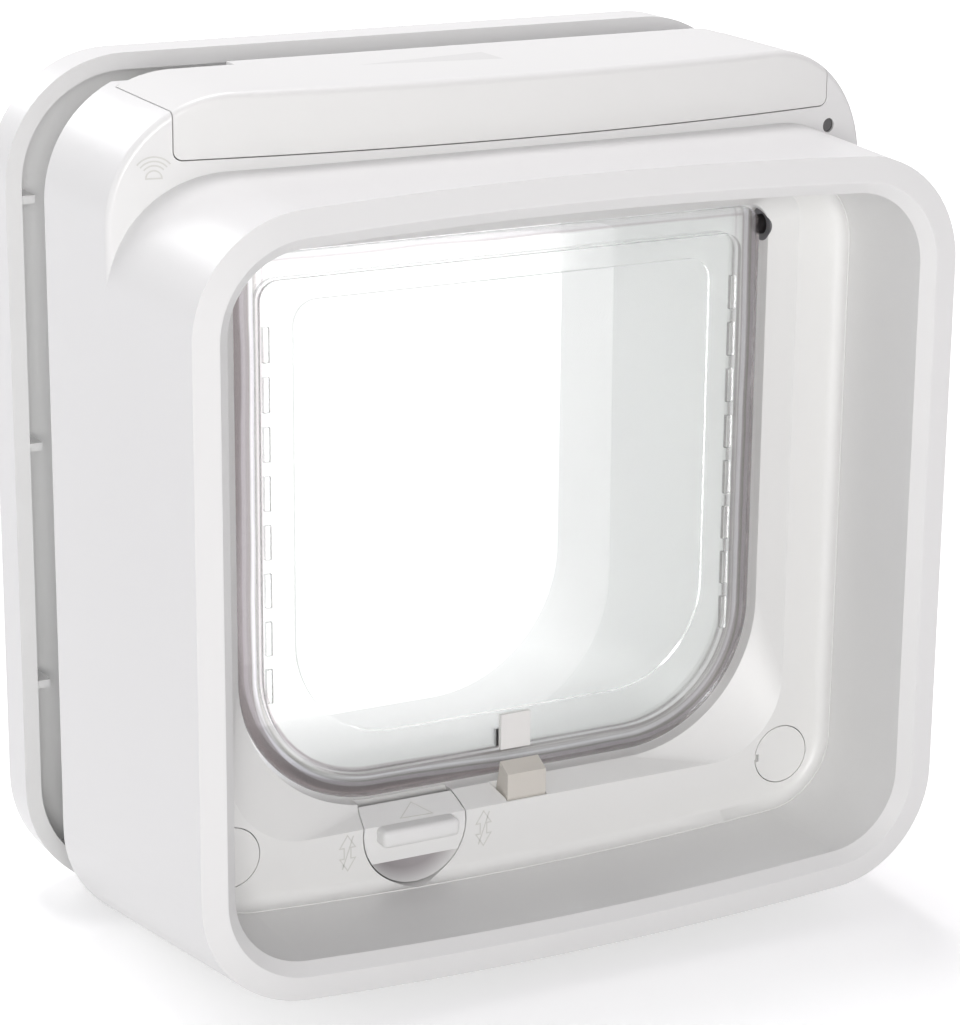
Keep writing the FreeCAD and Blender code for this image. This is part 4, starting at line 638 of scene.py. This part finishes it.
board_green, tree, shader = new_material("board_green", (0.03, 0.16, 0.07), 0.35)
tracks = tree.nodes.new("ShaderNodeTexBrick")
tracks.inputs["Color1"].default_value = (0.03, 0.16, 0.07, 1)
tracks.inputs["Color2"].default_value = (0.034, 0.175, 0.08, 1)
tracks.inputs["Mortar"].default_value = (0.07, 0.27, 0.13, 1)
tracks.inputs["Scale"].default_value = 160.0
tracks.inputs["Mortar Size"].default_value = 0.04
tree.links.new(on_object(tree), tracks.inputs["Vector"])
board_top = 0.18565
above = maths(tree, "GREATER_THAN", object_axes(tree)["Z"], board_top)
tree.links.new(blend_colours(tree, above, tracks.outputs["Color"], (0.03, 0.03, 0.032)),
               shader.inputs["Base Color"])
grain_bump(tree, shader, object_noise(tree, 900.0), 0.1, 0.0001)
dress(board_green, "circuit_board")


# Antenna coil
# Enamelled copper wire wound round the tunnel; it reads the animal's chip.

coil_copper, tree, shader = new_material("coil_copper", (0.42, 0.15, 0.05), 0.32)
shader.inputs["Coat Weight"].default_value = 0.6
winding = tree.nodes.new("ShaderNodeTexWave")
winding.bands_direction = "Y"
winding.inputs["Scale"].default_value = 700.0
tree.links.new(on_object(tree), winding.inputs["Vector"])
tree.links.new(blend_colours(tree, winding.outputs["Fac"], (0.20, 0.06, 0.02),
                             (0.50, 0.20, 0.07)), shader.inputs["Base Color"])
grain_bump(tree, shader, winding.outputs["Fac"], 0.6, 0.0003)
dress(coil_copper, "antenna_coil")


# Light and button
# The black lens of the status light in the housing's front, and the grey button in the
# battery bay that starts the learning of a chip.

lens, tree, shader = new_material("led_dark", (0.012, 0.009, 0.011), 0.12)
shader.inputs["Coat Weight"].default_value = 0.8
tree.links.new(spread(tree, object_noise(tree, 500.0), 0.08, 0.18), shader.inputs["Roughness"])
dress(lens, "led_lens")
dress(moulded("button_grey", (0.30, 0.30, 0.31), 0.5, 0.12), "learn_button")


# Battery tray and cells
# White tray in the bay with four AA cells, end to end in two rows, each in a printed
# sleeve that is left plain here.

dress(moulded("tray_white", (0.76, 0.76, 0.75), 0.48, 0.1), "battery_tray")


def cell_sleeve(name, nub, tail):
    """Sleeve in two colours and bare metal ends, by the distance from the cell's nub."""
    material, tree, shader = new_material(name, (0.05, 0.06, 0.09), 0.28)
    share = tree.nodes.new("ShaderNodeMapRange")
    share.inputs["From Min"].default_value = nub
    share.inputs["From Max"].default_value = tail
    tree.links.new(object_axes(tree)["X"], share.inputs["Value"])
    places = (0.0, 0.034, 0.30, 0.985)
    colours = ((0.62, 0.62, 0.6324), (0.55, 0.30, 0.16), (0.05, 0.05, 0.051), (0.6, 0.6, 0.612))
    metal = [(level, level, level * 1.02) for level in (1.0, 0.55, 0.0, 1.0)]
    for target, levels in (("Base Color", colours), ("Metallic", metal)):
        ramp = colour_ramp(tree, tuple(zip(places, levels)), share.outputs["Result"])
        ramp.color_ramp.interpolation = "CONSTANT"
        tree.links.new(ramp.outputs["Color"], shader.inputs[target])
    grain_bump(tree, shader, object_noise(tree, 700.0), 0.04, 0.0001)
    return material


for name, nub, tail in (("battery_1", 0.0, -0.0505), ("battery_2", 0.0505, 0.0),
                        ("battery_3", -0.0505, 0.0), ("battery_4", 0.0, 0.0505)):
    dress(cell_sleeve(name + "_sleeve", nub, tail), name)


# Cell contacts
# Nickel-plated strips against the ends of the tray. The ones at the cells' flat ends
# carry a conical spring wound from wire, the others a pressed bump.

contacts = bpy.data.node_groups.new("spring_contact_pair", "GeometryNodeTree")
contacts.interface.new_socket("Geometry", in_out="OUTPUT", socket_type="NodeSocketGeometry")
contact_inputs = {}
for label, kind, value in (
        ("First place", "NodeSocketVector", (-0.0555, -0.02125, 0.20485)),
        ("To the second", "NodeSocketVector", (0.111, 0.0148, 0)),
        ("Plate", "NodeSocketVector", (0.0006, 0.006, 0.0125)),
        ("Plate place", "NodeSocketVector", (0.0003, 0, -0.001)),
        ("Wide radius", "NodeSocketFloat", 0.0027), ("Narrow radius", "NodeSocketFloat", 0.0021),
        ("Spring length", "NodeSocketFloat", 0.0040), ("Wire radius", "NodeSocketFloat", 0.0003),
        ("Turns", "NodeSocketFloat", 4.0), ("Metal", "NodeSocketMaterial", None)):
    contact_inputs[label] = add_input(contacts, label, kind, value)
given = contacts.nodes.new("NodeGroupInput").outputs
plate = wire(contacts, "GeometryNodeTransform",
             Geometry=wire(contacts, "GeometryNodeMeshCube", Size=given["Plate"]),
             Translation=given["Plate place"])
path = wire(contacts, "GeometryNodeCurveSpiral", Resolution=24, Rotations=given["Turns"],
            Start_Radius=given["Wide radius"], End_Radius=given["Narrow radius"],
            Height=given["Spring length"])
spring = contacts.nodes.new("GeometryNodeCurveToMesh")
contacts.links.new(path, spring.inputs["Curve"])
contacts.links.new(wire(contacts, "GeometryNodeCurvePrimitiveCircle", Resolution=8,
                        Radius=given["Wire radius"]), spring.inputs["Profile Curve"])
spring.inputs["Fill Caps"].default_value = True
lying = wire(contacts, "GeometryNodeTransform", Geometry=spring.outputs["Mesh"],
             Translation=(0.0006, 0, 0), Rotation=(0, math.pi / 2, 0))
both = wire(contacts, "GeometryNodeMeshLine", Count=2, Start_Location=given["First place"],
            Offset=given["To the second"])
half_turn = maths(contacts, "MULTIPLY",
                  contacts.nodes.new("GeometryNodeInputIndex").outputs["Index"], math.pi)
placed = wire(contacts, "GeometryNodeInstanceOnPoints", Points=both,
              Instance=joined(contacts, plate, lying),
              Rotation=wire(contacts, "ShaderNodeCombineXYZ", X=0.0, Y=0.0, Z=half_turn))
plain = wire(contacts, "GeometryNodeRealizeInstances", Geometry=placed)
coated = wire(contacts, "GeometryNodeSetMaterial", Geometry=plain, Material=given["Metal"])
contacts.links.new(coated, contacts.nodes.new("NodeGroupOutput").inputs["Geometry"])
nickel = drawn_metal("contact_nickel", (0.75, 0.74, 0.70), 0.25, 2)
grown("cell_springs", contacts, {contact_inputs["Metal"]: nickel}, "contact_nickel",
      "housing", "spring_contacts")
dress(nickel, "strip_contacts")


# Camera, floor and light
# A pale floor and a white room around it, with soft lamps from the left, the front,
# above and behind. The camera was fitted to the photo, then set to show the whole.

sensor_size, focal_pixels, picture_height = 36.0, 3255.0, 1025
camera_place = (-0.36251, -0.70092, 0.33724)
camera = bpy.data.objects.new("camera", bpy.data.cameras.new("camera"))
bpy.context.scene.collection.objects.link(camera)
bpy.context.scene.camera = camera
yaw, pitch, roll = math.radians(27.89), math.radians(16.77), math.radians(0.4945)
forward = Vector((math.sin(yaw) * math.cos(pitch), math.cos(yaw) * math.cos(pitch),
                  -math.sin(pitch)))
level = Vector((math.cos(yaw), -math.sin(yaw), 0))
upward = level.cross(forward)
right = level * math.cos(roll) + upward * math.sin(roll)
up = upward * math.cos(roll) - level * math.sin(roll)
turn = Matrix((right, up, -forward)).transposed()
camera.matrix_world = Matrix.Translation(camera_place) @ turn.to_4x4()
camera.data.sensor_fit = "AUTO"
camera.data.sensor_width = sensor_size
camera.data.lens = sensor_size * focal_pixels / picture_height
camera.data.clip_start = 0.01
camera.data.clip_end = 20.0


def soft_lamp(name, place, size, power, colour):
    data = bpy.data.lights.new(name, "AREA")
    data.shape = "DISK"
    data.size = size
    data.energy = power
    data.color = colour
    lamp = bpy.data.objects.new(name, data)
    bpy.context.scene.collection.objects.link(lamp)
    aim = Vector((0, 0, 0.1)) - Vector(place)
    lamp.matrix_world = (Matrix.Translation(place)
                         @ aim.to_track_quat("-Z", "Y").to_matrix().to_4x4())


soft_lamp("left_lamp", (-1.9, 0.1, 0.6), 1.0, 4.4, (0.95, 0.99, 1.0))
soft_lamp("front_lamp", (-0.8, -2.1, 0.55), 0.9, 26.0, (1.0, 0.995, 0.985))
soft_lamp("overhead", (0.0, 0.5, 1.7), 0.8, 17.0, (1.0, 0.985, 1.0))
soft_lamp("back_lamp", (-0.55, 1.7, 1.05), 0.7, 5.0, (0.97, 0.99, 1.0))


def seen_directly(tree):
    """1 for rays that show the surroundings: from the camera, in gloss and through glass."""
    rays = tree.nodes.new("ShaderNodeLightPath").outputs
    total = maths(tree, "MAXIMUM", rays["Is Camera Ray"], rays["Is Glossy Ray"])
    return maths(tree, "MAXIMUM", total, rays["Is Transmission Ray"])


world = bpy.data.worlds.new("studio")
bpy.context.scene.world = world
world.use_nodes = True
tree = world.node_tree
soft = tree.nodes["Background"]
soft.inputs["Color"].default_value = (0.97, 0.925, 1.0, 1)
soft.inputs["Strength"].default_value = 0.30
white = tree.nodes.new("ShaderNodeBackground")
white.inputs["Color"].default_value = (1, 1, 1, 1)
white.inputs["Strength"].default_value = 1.0
choice = tree.nodes.new("ShaderNodeMixShader")
tree.links.new(seen_directly(tree), choice.inputs["Fac"])
tree.links.new(soft.outputs["Background"], choice.inputs[1])
tree.links.new(white.outputs["Background"], choice.inputs[2])
tree.links.new(choice.outputs["Shader"], tree.nodes["World Output"].inputs["Surface"])
bpy.context.scene.view_settings.view_transform = "Standard"

reach = 3
floor_mesh = bpy.data.meshes.new("floor")
floor_mesh.from_pydata([(-reach, -reach, 0), (reach, -reach, 0), (reach, reach, 0),
                        (-reach, reach, 0)], [], [(0, 1, 2, 3)])
floor = bpy.data.objects.new("floor", floor_mesh)
bpy.context.scene.collection.objects.link(floor)
floor_paint, tree, shader = new_material("floor_paint", (0.86, 0.86, 0.86), 0.9, 0.1)
shader.inputs["Emission Color"].default_value = (1, 1, 1, 1)
ground = tree.nodes.new("ShaderNodeVectorMath")
ground.operation = "LENGTH"
tree.links.new(on_object(tree), ground.inputs[0])
distant = maths(tree, "MAXIMUM", maths(tree, "SUBTRACT", ground.outputs["Value"], 0.4), 0.0)
lift = maths(tree, "MINIMUM", maths(tree, "MULTIPLY", distant, 0.5), 0.55)
tree.links.new(maths(tree, "MULTIPLY", seen_directly(tree), maths(tree, "ADD", lift, 0.45)),
               shader.inputs["Emission Strength"])
floor_mesh.materials.append(floor_paint)
